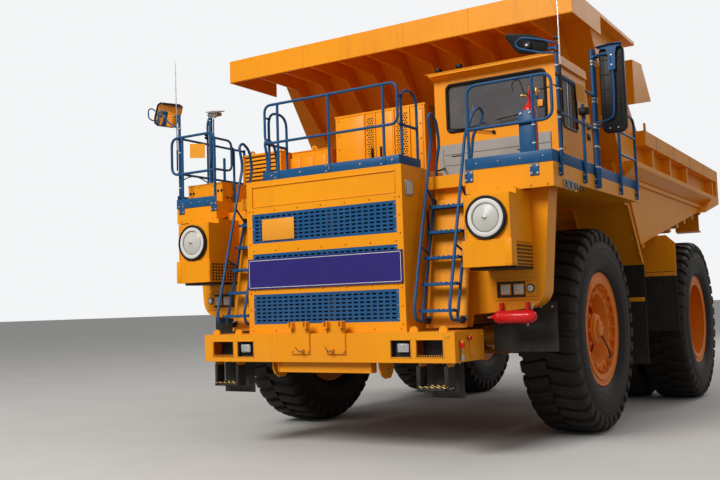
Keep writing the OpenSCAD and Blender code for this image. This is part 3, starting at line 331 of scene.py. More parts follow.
def ring_turn(g, given):
    """A turn about X that grows with each copy."""
    step = g.node("ShaderNodeMath", {0: 2 * math.pi, 1: given["Count"]}, operation="DIVIDE").outputs[0]
    index = g.node("GeometryNodeInputIndex").outputs[0]
    angle = g.node("ShaderNodeMath", {0: index, 1: step, 2: given["Start"]},
                   operation="MULTIPLY_ADD").outputs[0]
    return {"Rotation": g.node("ShaderNodeCombineXYZ", {"X": angle}).outputs[0]}


def scatter(name, points, shape, material, size=1.0):
    """points holds (place, aim, side, size). Returns one mesh with the shape at each."""
    mesh = bpy.data.meshes.new(name + "_points")
    mesh.from_pydata([tuple(p[0]) for p in points], [], [])
    for label, kind, column, width in (("aim", "FLOAT_VECTOR", 1, 3), ("side", "FLOAT_VECTOR", 2, 3),
            ("size", "FLOAT", 3, 1)):
        attr = mesh.attributes.new(label, kind, "POINT")
        data = np.array([p[column] for p in points], dtype=np.float32).ravel()
        attr.data.foreach_set("vector" if width == 3 else "value", data)
    holder = placed(name + "_points", mesh)
    sample = placed(name + "_shape", shape)
    tree = bpy.data.node_groups.get("Shapes on points") or copies_tree(
        "Shapes on points", [("Size", "Float", 1.0)], lambda g, given: given["Geometry"], scatter_turn)
    modify(holder, tree, {"Shape": sample, "Size": size, "Material": material})
    out = baked_mesh(holder, name)
    bpy.data.objects.remove(sample)
    return out


def around(name, shape, count, material, start=0.0):
    """A shape at the top of a wheel that turns round the X axis, repeated all round the wheel."""
    holder = placed(name + "_ring", bpy.data.meshes.new(name + "_ring"))
    sample = placed(name + "_shape", shape)
    tree = bpy.data.node_groups.get("Shapes round a wheel") or copies_tree(
        "Shapes round a wheel", [("Count", "Int", 20), ("Start", "Float", 0.0)], ring_points, ring_turn)
    modify(holder, tree, {"Shape": sample, "Count": count, "Start": start, "Material": material})
    out = baked_mesh(holder, name)
    bpy.data.objects.remove(sample)
    return out


def moved(mesh, offset, flip_x=False):
    """A copy of a mesh, shifted, and mirrored in X where asked."""
    out = mesh.copy()
    m = Matrix.Translation(Vector(offset))
    if flip_x:
        m = m @ Matrix.Diagonal((-1, 1, 1, 1))
    out.transform(m)
    if flip_x:
        out.flip_normals()
    return out


class Shade(Nodes):
    """Nodes of a material, a shader group or the world."""

    def math(self, operation, a, b=None, clamp=False):
        n = self.node("ShaderNodeMath", {0: a} if b is None else {0: a, 1: b}, operation=operation,
                      use_clamp=clamp)
        return n.outputs[0]

    def times(self, a, b, clamp=False):
        return self.math("MULTIPLY", a, b, clamp)

    def plus(self, a, b, clamp=False):
        return self.math("ADD", a, b, clamp)

    def places(self):
        return self.node("ShaderNodeTexCoord").outputs["Object"]

    def up_of(self, vector):
        return self.node("ShaderNodeSeparateXYZ", {0: vector}).outputs["Z"]

    def noise(self, vector, scale, detail=3.0, roughness=0.55, distortion=0.0):
        return self.node("ShaderNodeTexNoise", {"Vector": vector, "Scale": scale, "Detail": detail,
                                                "Roughness": roughness,
                                                "Distortion": distortion}).outputs["Fac"]

    def seen(self):
        """1 for camera, glossy and transmission rays, and the node that tells rays apart."""
        ray = self.node("ShaderNodeLightPath")
        camera, glossy, through = (ray.outputs[f"Is {kind} Ray"] for kind in ("Camera", "Glossy",
            "Transmission"))
        return self.math("MAXIMUM", camera, self.math("MAXIMUM", glossy, through)), ray

    def stretch(self, vector, scale):
        return self.node("ShaderNodeMapping", {"Vector": vector, "Scale": scale}).outputs[0]

    def ramp(self, fac, low, high):
        return self.node("ShaderNodeMapRange", {"Value": fac, "From Min": low, "From Max": high},
                         clamp=True).outputs[0]

    def mix(self, fac, a, b, blend="MIX"):
        n = self.node("ShaderNodeMix", {"Factor": fac}, data_type="RGBA", blend_type=blend)
        for socket, v in ((6, a), (7, b)):
            if isinstance(v, bpy.types.NodeSocket):
                self.tree.links.new(v, n.inputs[socket])
            else:
                n.inputs[socket].default_value = (*v, 1) if len(v) == 3 else v
        return n.outputs[2]


def weathering_group():
    """Tone changes, run-off streaks, settled dust, and wear on edges."""
    tree, given, end = new_tree(
        "Weathering", "ShaderNodeTree",
        [("Base", "Color", (0.8, 0.3, 0.02, 1)), ("Dust", "Color", (0.4, 0.33, 0.26, 1)),
         ("Worn", "Color", (0.25, 0.12, 0.05, 1)), ("Dust Amount", "Float", 0.4), ("Streaks", "Float", 0.3),
         ("Wear", "Float", 0.4), ("Roughness", "Float", 0.35), ("Edge", "Float", 0.006)],
        [("Color", "Color"), ("Roughness", "Float"), ("Height", "Float"), ("Normal", "Vector")])
    s = Shade(tree)
    where = s.places()
    geo = s.node("ShaderNodeNewGeometry")
    up = s.up_of(geo.outputs["Normal"])
    high = s.up_of(where)
    cloud = s.noise(where, 0.9, 5.0, 0.6)
    fine = s.noise(where, 14.0, 4.0, 0.65)
    grit = s.noise(where, 95.0, 2.0, 0.6)
    # Tone
    tone = s.mix(s.ramp(cloud, 0.35, 0.75), given["Base"],
                 s.mix(1.0, given["Base"], (0.93, 0.86, 0.85), "MULTIPLY"))
    tone = s.mix(s.times(s.ramp(fine, 0.5, 0.8), s.times(given["Dust Amount"], 0.22)), tone, given["Dust"])
    # Streaks run down upright faces
    run = s.noise(s.stretch(where, (6.5, 6.5, 0.55)), 1.6, 4.0, 0.6)
    upright = s.math("SUBTRACT", 1.0, s.math("ABSOLUTE", up), clamp=True)
    streak = s.times(s.times(s.ramp(run, 0.56, 0.78), upright), given["Streaks"])
    tone = s.mix(streak, tone, s.mix(0.55, given["Base"], (0.13, 0.07, 0.035)))
    # Dust lies on faces that look up, and near the ground
    flat = s.math("POWER", s.math("MAXIMUM", up, 0.0), 2.0)
    low = s.ramp(high, 2.3, 0.4)
    settled = s.math("MAXIMUM", flat, s.times(low, 0.55))
    settled = s.times(settled, s.ramp(s.noise(where, 2.6, 6.0, 0.65), 0.3, 0.72))
    settled = s.times(settled, given["Dust Amount"], clamp=True)
    tone = s.mix(settled, tone, given["Dust"])
    # Edges, from a rounded normal
    soft = s.node("ShaderNodeBevel", {"Radius": given["Edge"]}, samples=4)
    along = s.node("ShaderNodeVectorMath", {0: soft.outputs[0], 1: geo.outputs["Normal"]},
                   operation="DOT_PRODUCT").outputs["Value"]
    edge = s.ramp(along, 0.985, 0.8)
    chip = s.times(edge, s.ramp(s.noise(where, 30.0, 5.0, 0.7), 0.52, 0.66))
    chip = s.times(chip, given["Wear"], clamp=True)
    tone = s.mix(chip, tone, given["Worn"])
    rough = s.plus(given["Roughness"], s.times(s.math("SUBTRACT", fine, 0.5), 0.16))
    rough = s.plus(rough, s.times(settled, 0.45))
    rough = s.plus(rough, s.times(chip, 0.3), clamp=True)
    height = s.plus(s.times(grit, 0.25), s.times(chip, -1.0))
    height = s.plus(height, s.times(settled, 0.3))
    s.feed(end, {"Color": tone, "Roughness": rough, "Height": height, "Normal": soft.outputs[0]})
    return tree


def material(name, base, metallic=0.0, coat=0.0, specular=0.2):
    m = bpy.data.materials.new(name)
    m.use_nodes = True
    s = Shade(m.node_tree)
    bsdf = s.feed(m.node_tree.nodes["Principled BSDF"], {
        "Base Color": (*base, 1), "Metallic": metallic, "Coat Weight": coat, "Specular IOR Level": specular})
    return m, s, bsdf


def weathered(name, base, dust, worn, dust_amount, streaks, wear, roughness, edge, bump=0.002, coat=0.0,
              metallic=0.0):
    """Painted or cast metal, rubber or plastic with the shared weathering."""
    m, s, bsdf = material(name, base, metallic, coat)
    group = bpy.data.node_groups.get("Weathering") or weathering_group()
    g = s.node("ShaderNodeGroup", node_tree=group)
    s.feed(g, {"Base": (*base, 1), "Dust": (*dust, 1), "Worn": (*worn, 1), "Dust Amount": dust_amount,
               "Streaks": streaks, "Wear": wear, "Roughness": roughness, "Edge": edge})
    b = s.node("ShaderNodeBump", {"Strength": 0.35, "Distance": bump, "Height": g.outputs["Height"],
                                  "Normal": g.outputs["Normal"]})
    s.feed(bsdf,
           {"Base Color": g.outputs["Color"], "Roughness": g.outputs["Roughness"], "Normal": b.outputs[0]})
    return m


MATS = {}


def make_materials(c):
    """Fills MATS from the colours of the property group."""
    dust, paint, rubber = tuple(c.dust), tuple(c.paint), tuple(c.rubber)
    rust, grey, dull, bare = (0.16, 0.055, 0.022), (0.3, 0.3, 0.3), (0.05, 0.045, 0.04), (0.05, 0.05, 0.05)
    # key, name, base, worn; dust, streaks, wear, roughness, edge; bump, coat and metallic where they differ
    for key, name, base, worn, *amounts in (
        ("paint", "orange paint", paint, rust, 0.16, 0.22, 0.4, 0.36, 0.007),
        ("bed", "bed paint", paint, rust, 0.3, 0.38, 0.5, 0.4, 0.008),
        ("frame", "frame paint", [v * 0.8 for v in paint], rust, 0.45, 0.5, 0.5, 0.5, 0.008),
        ("wheel", "wheel paint", (paint[0] * 0.92, paint[1] * 0.62, paint[2]), rust, 0.16, 0.35, 0.6, 0.36,
         0.006),
        ("blue", "blue paint", c.blue, grey, 0.25, 0.15, 0.5, 0.38, 0.004),
        ("board", "board", c.board, (0.4, 0.4, 0.4), 0.08, 0.06, 0.1, 0.32, 0.003),
        ("bottle", "red bottle", c.bottle, grey, 0.06, 0.05, 0.2, 0.25, 0.004, 0.002, 0.2),
        ("casting", "casting", c.steel, rust, 0.65, 0.3, 0.2, 0.65, 0.006, 0.006),
        ("rod", "ground rod", (0.55, 0.55, 0.56), (0.2, 0.2, 0.2), 0.1, 0.1, 0.1, 0.18, 0.003, 0.002, 0, 1.0),
        ("rubber", "flap rubber", (0.018, 0.018, 0.017), dull, 0.22, 0.2, 0.2, 0.6, 0.004, 0.004),
        ("plastic", "black plastic", (0.01, 0.01, 0.01), bare, 0.1, 0.1, 0.2, 0.42, 0.004, 0.001),
        ("white", "white plastic", (0.74, 0.74, 0.71), (0.4, 0.38, 0.35), 0.1, 0.15, 0.2, 0.35, 0.004, 0.001),
        ("zinc", "zinc steel", (0.42, 0.4, 0.36), (0.12, 0.1, 0.08), 0.2, 0.1, 0.3, 0.4, 0.002, 0.002, 0,
         0.8),
        ("inside", "cab lining", (0.05, 0.052, 0.055), (0.08, 0.08, 0.08), 0.12, 0.05, 0.1, 0.6, 0.006),
        ("core", "radiator core", (0.02, 0.018, 0.016), (0.08, 0.07, 0.06), 0.3, 0.2, 0.1, 0.6, 0.004),
        ("brass", "brass", (0.42, 0.27, 0.08), (0.3, 0.2, 0.06), 0.15, 0.05, 0.2, 0.35, 0.002, 0.002, 0, 0.9),
        ("sign", "blank sign", (0.88, 0.36, 0.03), (0.6, 0.5, 0.3), 0.1, 0.1, 0.15, 0.38, 0.002),
        ("cone", "clear cone", (0.6, 0.6, 0.56), grey, 0.08, 0.1, 0.1, 0.22, 0.004),
        ("cloth", "seat cloth", (0.03, 0.03, 0.032), bare, 0.08, 0.0, 0.1, 0.9, 0.006),
    ):
        MATS[key] = weathered(name, base, dust, worn, *amounts)
    MATS["panel"] = weathered("grey panel", c.panel, (0.42, 0.41, 0.38), (0.15, 0.13, 0.12), 0.2, 0.15, 0.2,
                              0.42, 0.006)
    MATS["glass"], s, bsdf = material("cab glass", (0.16, 0.17, 0.18), specular=0.6)
    haze = s.ramp(s.noise(s.places(), 2.2, 5.0, 0.6), 0.3, 0.85)
    s.feed(bsdf, {"Base Color": s.mix(haze, (0.13, 0.14, 0.15), (0.2, 0.2, 0.2)),
                  "Alpha": s.plus(0.42, s.times(haze, 0.16)), "Roughness": s.plus(0.03, s.times(haze, 0.06))})
    MATS["lens"], s, bsdf = material("lamp glass", (0.85, 0.87, 0.87))
    ribs = s.node("ShaderNodeTexWave", {"Vector": s.places(), "Scale": 55.0, "Distortion": 0.4},
                  bands_direction="X").outputs["Fac"]
    bump = s.node("ShaderNodeBump", {"Strength": 0.4, "Distance": 0.002, "Height": ribs}).outputs[0]
    s.feed(bsdf, {"Transmission Weight": 0.9, "Roughness": s.plus(0.08, s.times(ribs, 0.06)), "Normal": bump})
    MATS["mirror"], s, bsdf = material("mirror glass", (0.78, 0.8, 0.81), metallic=1.0)
    s.feed(bsdf, {"Roughness": s.times(s.ramp(s.noise(s.places(), 6.0, 5.0, 0.7), 0.4, 0.9), 0.2)})
    MATS["tyre"] = tyre_material(rubber, dust)


def tyre_material(rubber, dust):
    """Tyre rubber. The mesh's attribute tread is 1 on lug tops, and wall grows to 1 down the sidewall."""
    m, s, bsdf = material("tyre rubber", rubber, specular=0.22)
    where = s.places()
    tread = s.node("ShaderNodeAttribute", attribute_name="tread").outputs["Fac"]
    wall = s.node("ShaderNodeAttribute", attribute_name="wall").outputs["Fac"]
    cloud = s.noise(where, 3.2, 6.0, 0.65)
    fine = s.noise(where, 38.0, 5.0, 0.7)
    grit = s.noise(where, 190.0, 3.0, 0.6)
    lying = s.times(s.ramp(cloud, 0.38, 0.72), 0.42)
    groove = s.times(s.math("SUBTRACT", 1.0, tread, clamp=True), s.ramp(fine, 0.25, 0.8))
    groove = s.times(groove, s.math("SUBTRACT", 0.55, s.times(wall, 0.38)))
    amount = s.math("MAXIMUM", groove, s.times(lying, s.ramp(fine, 0.35, 0.75)))
    tone = s.mix(s.times(amount, 0.42), (*rubber, 1), (dust[0] * 0.4, dust[1] * 0.31, dust[2] * 0.24, 1))
    rough = s.plus(0.55, s.times(amount, 0.4), clamp=True)
    height = s.plus(s.times(grit, 0.4), s.times(fine, 0.8))
    bump = s.node("ShaderNodeBump", {"Strength": 0.5, "Distance": 0.003, "Height": height}).outputs[0]
    s.feed(bsdf, {"Base Color": tone, "Roughness": rough, "Normal": bump})
    return m


NODE_MATERIALS = {
    "frame": ("frame", "frame_cross_members", "front_suspension", "rear_suspension", "front_axle",
              "rear_axle", "left_knuckle", "right_knuckle", "tie_rod", "left_steering_barrel",
              "right_steering_barrel", "left_hoist_barrel", "right_hoist_barrel"),
    "paint": ("front_bumper", "radiator_housing", "deck", "fenders", "air_cleaners", "electrical_cabinet",
              "deck_boxes", "cab_shell", "side_tanks", "cab_door"),
    "bed": ("bed_floor", "bed_bolsters", "bed_sides", "bed_headboard", "bed_canopy", "bed_guards"),
    "wheel": ("front_left_rim", "front_right_rim", "rear_left_rims", "rear_right_rims"),
    "blue": ("radiator_grilles", "ladders", "railings"),
    "board": ("front_board",),
    "panel": ("cab_front_panel",),
    "bottle": ("pressure_bottles",),
    "casting": ("engine_block",),
    "rod": ("left_steering_rod", "right_steering_rod", "left_hoist_stage", "right_hoist_stage",
            "left_hoist_rod",
            "right_hoist_rod"),
    "rubber": ("mud_flaps", "bed_flaps", "cab_mounts"),
    "core": ("radiator_core",),
    "white": ("air_cleaner_discs", "lamps"),
    "plastic": ("mirrors",),
    "inside": ("cab_interior",),
    "glass": ("cab_glass",),
    "tyre": ("front_left_tyre", "front_right_tyre", "rear_left_tyres", "rear_right_tyres"),
}


class TRUCK_OT_materials(bpy.types.Operator):
    """Paints each CAD node with its procedural material"""

    bl_idname = "truck.materials"
    bl_label = "Materials"

    def execute(self, context):
        make_materials(context.scene.truck_colours)
        for key, nodes in NODE_MATERIALS.items():
            for name in nodes:
                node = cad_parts.get(name)
                if node is None:
                    continue
                node.data.materials.clear()
                node.data.materials.append(MATS[key])
        return {"FINISHED"}


class TRUCK_OT_stage(bpy.types.Operator):
    """Floor, backdrop, lamps and the camera at the photograph's place"""

    bl_idname = "truck.stage"
    bl_label = "Stage and camera"

    def execute(self, context):
        scene = context.scene
        floor, s, bsdf = material("pale floor", (0.62, 0.61, 0.59), specular=0.3)
        grain = s.ramp(s.noise(s.places(), 0.7, 6.0, 0.6), 0.3, 0.8)
        pale = s.mix(grain, (0.6, 0.59, 0.57), (0.66, 0.65, 0.63))
        s.feed(bsdf, {"Base Color": s.mix(s.seen()[0], (0.26, 0.25, 0.24), pale), "Roughness": 0.85})
        bm = bmesh.new()
        bmesh.ops.create_grid(bm, x_segments=1, y_segments=1, size=FLOOR_SIZE)
        obj = placed("floor", mesh_of("floor", bm, [floor]))
        world = scene.world = bpy.data.worlds.new("studio")
        world.use_nodes = True
        s = Shade(world.node_tree)
        world.node_tree.nodes.clear()
        seen, ray = s.seen()
        up = s.up_of(s.node("ShaderNodeTexCoord").outputs["Generated"])
        light = s.node("ShaderNodeBackground", {
            "Color": s.mix(s.ramp(up, -0.1, 0.7), (0.8, 0.82, 0.85), (1.0, 1.0, 1.0)),
            "Strength": SKY_STRENGTH})
        dim = s.math("SUBTRACT", 1.0, s.times(ray.outputs["Is Glossy Ray"], 0.55))
        sky = s.node("ShaderNodeBackground", {"Color": (0.9, 0.91, 0.92, 1), "Strength": dim})
        mix = s.node("ShaderNodeMixShader", {0: seen, 1: light.outputs[0], 2: sky.outputs[0]})
        s.node("ShaderNodeOutputWorld", {"Surface": mix.outputs[0]})
        for name, place, aim, size, watts in (
            ("key", (-3, -24, 17), (0, -3, 2), 9, 5000),
            ("fill", (18, -8, 9), (0, 0, 2), 12, 220),
            ("back", (6, 20, 16), (0, 2, 3), 12, 1100),
        ):
            lamp = bpy.data.lights.new(name, "AREA")
            lamp.size = size
            lamp.energy = watts
            lamp.color = LAMP_COLOUR
            obj = placed(name, lamp)
            obj.location = place
            obj.rotation_euler = (Vector(aim) - Vector(place)).to_track_quat("-Z", "Y").to_euler()
        cam = bpy.data.cameras.new("camera")
        cam.sensor_width = SENSOR_WIDTH
        cam.lens = CAMERA_LENS
        cam.clip_end = 1000
        yaw, pitch, roll = (math.radians(v) for v in CAMERA_TURN)
        ahead = Vector((-math.sin(yaw) * math.cos(pitch), math.cos(yaw) * math.cos(pitch), math.sin(pitch)))
        right = Vector((math.cos(yaw), math.sin(yaw), 0))
        up = right.cross(ahead)
        cos, sin = math.cos(roll), math.sin(roll)
        right, up = cos * right + sin * up, -sin * right + cos * up
        turn = Matrix((right, up, -ahead)).transposed().to_4x4()
        scene.camera = placed("camera", cam)
        scene.camera.matrix_world = Matrix.Translation(at(*CAMERA_PLACE)) @ turn
        scene.view_settings.view_transform = "Standard"
        return {"FINISHED"}


# Tyres
def tyre_profile(groove):
    """(radius, across) from the inner bead over the tread to the outer bead."""
    half = TYRE_W / 2
    base = TYRE_R - groove
    side = [
        (0.64, 0.262), (0.7, 0.275), (0.742, 0.288), (0.76, 0.318), (0.79, 0.345), (0.835, 0.362),
        (0.842, 0.366), (0.858, 0.37), (0.864, 0.37), (0.905, half - 0.006), (0.94, half - 0.001),
        (0.962, half), (0.99, half - 0.002), (1.04, half - 0.008), (1.046, half - 0.004),
        (1.062, half - 0.006), (1.068, half - 0.012), (1.12, half - 0.022), (1.17, half - 0.036),
        (base - 0.05, half - 0.052), (base - 0.018, half - 0.085), (base, half - 0.13), (base + 0.002, 0.12),
        (base + 0.002, 0.0),
    ]
    return [(r, -x) for r, x in side[:-1]] + [(r, x) for r, x in reversed(side)]


def lug_shape(groove):
    """A tread bar of one side of the tyre, at the top of the wheel, from the middle over the shoulder."""
    half = TYRE_W / 2
    top = TYRE_R
    bottom = TYRE_R - groove - 0.012
    bm = bmesh.new()
    rows = []
    # across, top radius, half width at top, forward lean
    table = [
        (0.006, top - 0.001, 0.058, 0.05),
        (0.08, top, 0.06, 0.04),
        (0.17, top - 0.001, 0.062, 0.018),
        (0.25, top - 0.006, 0.064, 0.0),
        (half - 0.07, top - 0.022, 0.066, -0.008),
        (half - 0.022, top - 0.07, 0.066, -0.01),
        (half - 0.008, top - 0.13, 0.062, -0.01),
        (half - 0.02, top - 0.185, 0.05, -0.01),
    ]
    for x, r, w, lean in table:
        depth = min(r - 0.002, bottom) if x < half - 0.05 else r - 0.03
        inward = 0 if x < half - 0.05 else 0.05
        row = []
        for side, rr, xx in ((-1, depth, x - inward), (-1, r - 0.006, x), (-0.86, r, x), (0.86, r, x),
                             (1, r - 0.006, x), (1, depth, x - inward)):
            wide = w + (0.014 if rr == depth else 0.0)
            y = side * wide + lean
            a = y / TYRE_R
            row.append(bm.verts.new((xx, math.sin(a) * rr, math.cos(a) * rr)))
        rows.append(row)
    for p, q in zip(rows, rows[1:]):
        for k in range(5):
            bm.faces.new((p[k], p[k + 1], q[k + 1], q[k]))
    bm.faces.new(list(reversed(rows[0])))
    bm.faces.new(rows[-1])
    return mesh_of("tread bar", bm)


def wheel_tyre(name, sizes):
    """A tyre centred on the origin, with its axle along X."""
    bm = bmesh.new()
    profile = tyre_profile(sizes.groove)
    add_turned(bm, profile + [(0.632, 0.255), (0.632, -0.255)], (0, 0, 0), (1, 0, 0), TYRE_SIDES, closed=True)
    body = mesh_of(name + "_body", bm, [MATS["tyre"]])
    shape = lug_shape(sizes.groove)
    half = math.pi / sizes.lugs
    outer = around(name + "_bars_a", shape, sizes.lugs, MATS["tyre"])
    inner = around(name + "_bars_b", moved(shape, (0, 0, 0), flip_x=True), sizes.lugs, MATS["tyre"],
                   start=half)
    for mesh, is_bar in ((body, 0), (outer, 1), (inner, 1)):
        n = len(mesh.vertices)
        co = np.empty(n * 3, dtype=np.float32)
        mesh.vertices.foreach_get("co", co)
        co = co.reshape(-1, 3)
        radial = np.hypot(co[:, 1], co[:, 2])
        tread = mesh.attributes.new("tread", "FLOAT", "POINT")
        tread.data.foreach_set("value", (is_bar * (radial > TYRE_R - LUG_TOP)).astype(np.float32))
        wall = mesh.attributes.new("wall", "FLOAT", "POINT")
        side = np.clip((TYRE_R - WALL_START - radial) / WALL_FADE, 0, 1)
        wall.data.foreach_set("value", ((1 - is_bar) * side).astype(np.float32))
    return join_meshes(name, [body, outer, inner])


class TRUCK_OT_tyres(bpy.types.Operator):
    """Tyres with their tread bars, in place of the plain rings"""

    bl_idname = "truck.tyres"
    bl_label = "Tyres"

    def execute(self, context):
        sizes = context.scene.truck_sizes
        tyre = wheel_tyre("tyre", sizes)
        for side, word in ((1, "left"), (-1, "right")):
            single = moved(tyre, (side * FRONT_X, FRONT_Y, AXLE_Z), side < 0)
            piece = new_piece(f"front_{word}_tread", single, f"front_{word}_wheel", "tyre", 28)
            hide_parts(f"front_{word}_tyre")
            twins = [moved(tyre, (side * x, REAR_Y, AXLE_Z), side < 0) for x in (INNER_X, OUTER_X)]
            both = join_meshes(f"rear_{word}_tread", twins)
            piece = new_piece(f"rear_{word}_tread", both, f"rear_{word}_wheels", "tyre", 28)
            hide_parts(f"rear_{word}_tyres")
        return {"FINISHED"}


SLOTS = {
    "paint": "orange_paint", "bed": "orange_paint", "frame": "orange_paint", "wheel": "orange_paint",
    "blue": "blue_paint", "board": "purple_paint", "bottle": "red_paint", "casting": "dark_steel",
    "zinc": "bright_steel", "rod": "bright_steel", "rubber": "rubber", "plastic": "black_plastic",
    "white": "white_plastic", "lens": "glass", "glass": "glass", "mirror": "glass", "inside": "black_plastic",
    "brass": "bright_steel", "sign": "orange_paint", "core": "dark_steel", "cone": "white_plastic",
    "panel": "grey_paint", "cloth": "black_plastic",
}


# The way that the X axis of a bolt or rivet turns to
DOT_SIDE = (0.31, 0.42, 0.85)


def bent(points, radius, cyclic=False, steps=7):
    """The path with each corner turned into a smooth bend."""
    out = []
    n = len(points)
    for i, p in enumerate(points):
        if not cyclic and i in (0, n - 1):
            out.append(p)
            continue
        a, b = points[i - 1] - p, points[(i + 1) % n] - p
        cut = min(radius, a.length * 0.48, b.length * 0.48)
        a, b = p + a.normalized() * cut, p + b.normalized() * cut
        for k in range(steps + 1):
            t = k / steps
            out.append(a * (1 - t) ** 2 + p * 2 * t * (1 - t) + b * t * t)
    return out


class Part:
    """Collects shapes in several materials and makes them one piece. Places are given as for at()."""

    def __init__(self, name, body, *keys):
        self.name, self.body, self.keys = name, body, keys
        self.bm = bmesh.new()
        self.more = []
        self.side = 1

    def sides(self):
        """Yields 1 and -1. The x of each place that is given meanwhile is multiplied by it."""
        for self.side in (1, -1):
            yield self.side
        self.side = 1

    def at(self, x, y, z):
        return at(self.side * x, y, z)

    def index(self, key):
        return self.keys.index(key) if key else 0

    def paint(self, key):
        return MATS[key or self.keys[0]]

    def box(self, x0, x1, y0, y1, z0, z1, key=None, bevel=0.003, segments=2):
        x0, x1 = sorted((self.side * x0, self.side * x1))
        add_box(self.bm, at(x0, y0, z0), at(x1, y1, z1), bevel, self.index(key), segments)

    def border(self, x0, x1, y0, y1, z0, z1, width, key, bevel=0.003):
        """Four bars along the inside of an upright rectangle that faces the front."""
        for a, b, c, d in ((x0, x1, z1 - width, z1), (x0, x1, z0, z0 + width), (x0, x0 + width, z0, z1),
                           (x1 - width, x1, z0, z1)):
            self.box(a, b, y0, y1, c, d, key, bevel)

    def rod(self, a, b, r, key=None, sides=14, r2=None):
        add_rod(self.bm, self.at(*a), self.at(*b), r, sides, self.index(key), r2)

    def turned(self, profile, centre, axis, key=None, sides=40, closed=False):
        add_turned(self.bm, profile, self.at(*centre), axis, sides, self.index(key), closed)

    def ring(self, centre, inner, outer, half, key=None, axis=(0, 1, 0), sides=20):
        """A ring with square edges, as a lifting eye or a clamp band."""
        self.turned([(outer, -half), (outer, half), (inner, half), (inner, -half)], centre, axis, key, sides,
                    True)

    def plate(self, corners, thick, key=None):
        """A flat plate: corners go round its face, and it is thick along its own normal, behind the face."""
        pts = [self.at(*c) for c in corners]
        normal = (pts[1] - pts[0]).cross(pts[2] - pts[0]).normalized() * thick
        front = [self.bm.verts.new(p) for p in pts]
        back = [self.bm.verts.new(p - normal) for p in pts]
        faces = [self.bm.faces.new(front), self.bm.faces.new(list(reversed(back)))]
        for i in range(len(pts)):
            j = (i + 1) % len(pts)
            faces.append(self.bm.faces.new((front[i], back[i], back[j], front[j])))
        for f in faces:
            f.material_index = self.index(key)

    def tube(self, points, r, key=None, sides=10, curved=True, cyclic=False):
        pts = [self.at(*p) for p in points]
        self.more.append(tube_mesh(self.name + "_tube", pts, r, self.paint(key), sides, curved, cyclic))

    def pipe(self, points, r=0.017, key=None, bend=0.08, sides=12, cyclic=False):
        """A tube along straight runs, with its corners bent to a radius."""
        pts = bent([self.at(*p) for p in points], bend, cyclic)
        self.more.append(tube_mesh(self.name + "_pipe", pts, r, self.paint(key), sides, False, cyclic))

    def row(self, a, b, count, size=1.0, aim=(0, -1, 0)):
        """Points in a straight row, for dots."""
        a, b = self.at(*a), self.at(*b)
        return [(a.lerp(b, i / max(count - 1, 1)), aim, DOT_SIDE, size) for i in range(count)]

    def dots(self, points, shape, key=None, size=1.0):
        if points:
            self.more.append(scatter(self.name + "_dots", points, shape, self.paint(key), size))

    def done(self, smooth=32, replaces=()):
        mesh = mesh_of(self.name, self.bm, [MATS[k] for k in self.keys])
        if self.more:
            mesh = join_meshes(self.name, [mesh] + self.more)
        piece = new_piece(self.name, mesh, self.body, SLOTS[self.keys[0]], smooth)
        if replaces:
            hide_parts(*replaces)


def bolt_shape():
    """A hex head on a washer, one unit wide, that stands on z = 0."""
    bm = bmesh.new()
    add_rod(bm, (0, 0, -0.1), (0, 0, 0.12), 0.66, 18)
    add_rod(bm, (0, 0, 0.1), (0, 0, 0.62), 0.5, 6)
    add_rod(bm, (0, 0, 0.6), (0, 0, 0.68), 0.42, 12, 0, 0.34)
    return mesh_of("bolt shape", bm)


def rivet_shape():
    bm = bmesh.new()
    add_turned(bm, [(0.5, -0.1), (0.5, 0.05), (0.38, 0.2), (0.18, 0.28), (0.0, 0.3)], (0, 0, 0), (0, 0, 1),
               12)
    return mesh_of("rivet shape", bm)


def tooth_shape():
    bm = bmesh.new()
    add_rod(bm, (0, 0, -0.1), (0, 0, 0.5), 0.5, 4, 0, 0.16)
    return mesh_of("tooth shape", bm)


def round_rect(u0, u1, v0, v1, r, steps=6):
    pts = []
    for cu, cv, start in ((u1 - r, v0 + r, -90), (u1 - r, v1 - r, 0), (u0 + r, v1 - r, 90),
                          (u0 + r, v0 + r, 180)):
        for i in range(steps + 1):
            t = math.radians(start + 90 * i / steps)
            pts.append((cu + r * math.cos(t), cv + r * math.sin(t)))
    return pts


def slab(outline, place, across, up, thick, bevel, keys, name):
    """A slab from an outline in the plane of across and up. It grows along their cross product."""
    across, up = Vector(across).normalized(), Vector(up).normalized()
    normal = across.cross(up)
    bm = bmesh.new()
    face = bm.faces.new([bm.verts.new(Vector(place) + across * u + up * v) for u, v in outline])
    out = bmesh.ops.extrude_face_region(bm, geom=[face])
    bmesh.ops.translate(bm, verts=[g for g in out["geom"] if isinstance(g, bmesh.types.BMVert)],
                        vec=normal * thick)
    bmesh.ops.recalc_face_normals(bm, faces=bm.faces)
    rim = [e for e in bm.edges if sum(abs(f.normal.dot(normal)) > 0.9 for f in e.link_faces) == 1]
    if bevel:
        bmesh.ops.bevel(bm, geom=rim, offset=bevel, segments=3, profile=0.5, affect="EDGES")
    return mesh_of(name, bm, [MATS[k] for k in keys])


# (radius, across) of the flange's rolled edge and of the lock ring
RIM_EDGES = (
    [(0.722, 0.291), (0.734, 0.296), (0.738, 0.303), (0.733, 0.309), (0.722, 0.309), (0.716, 0.302)],
    [(0.588, 0.292), (0.652, 0.296), (0.662, 0.305), (0.655, 0.312), (0.6, 0.308), (0.586, 0.3)],
)


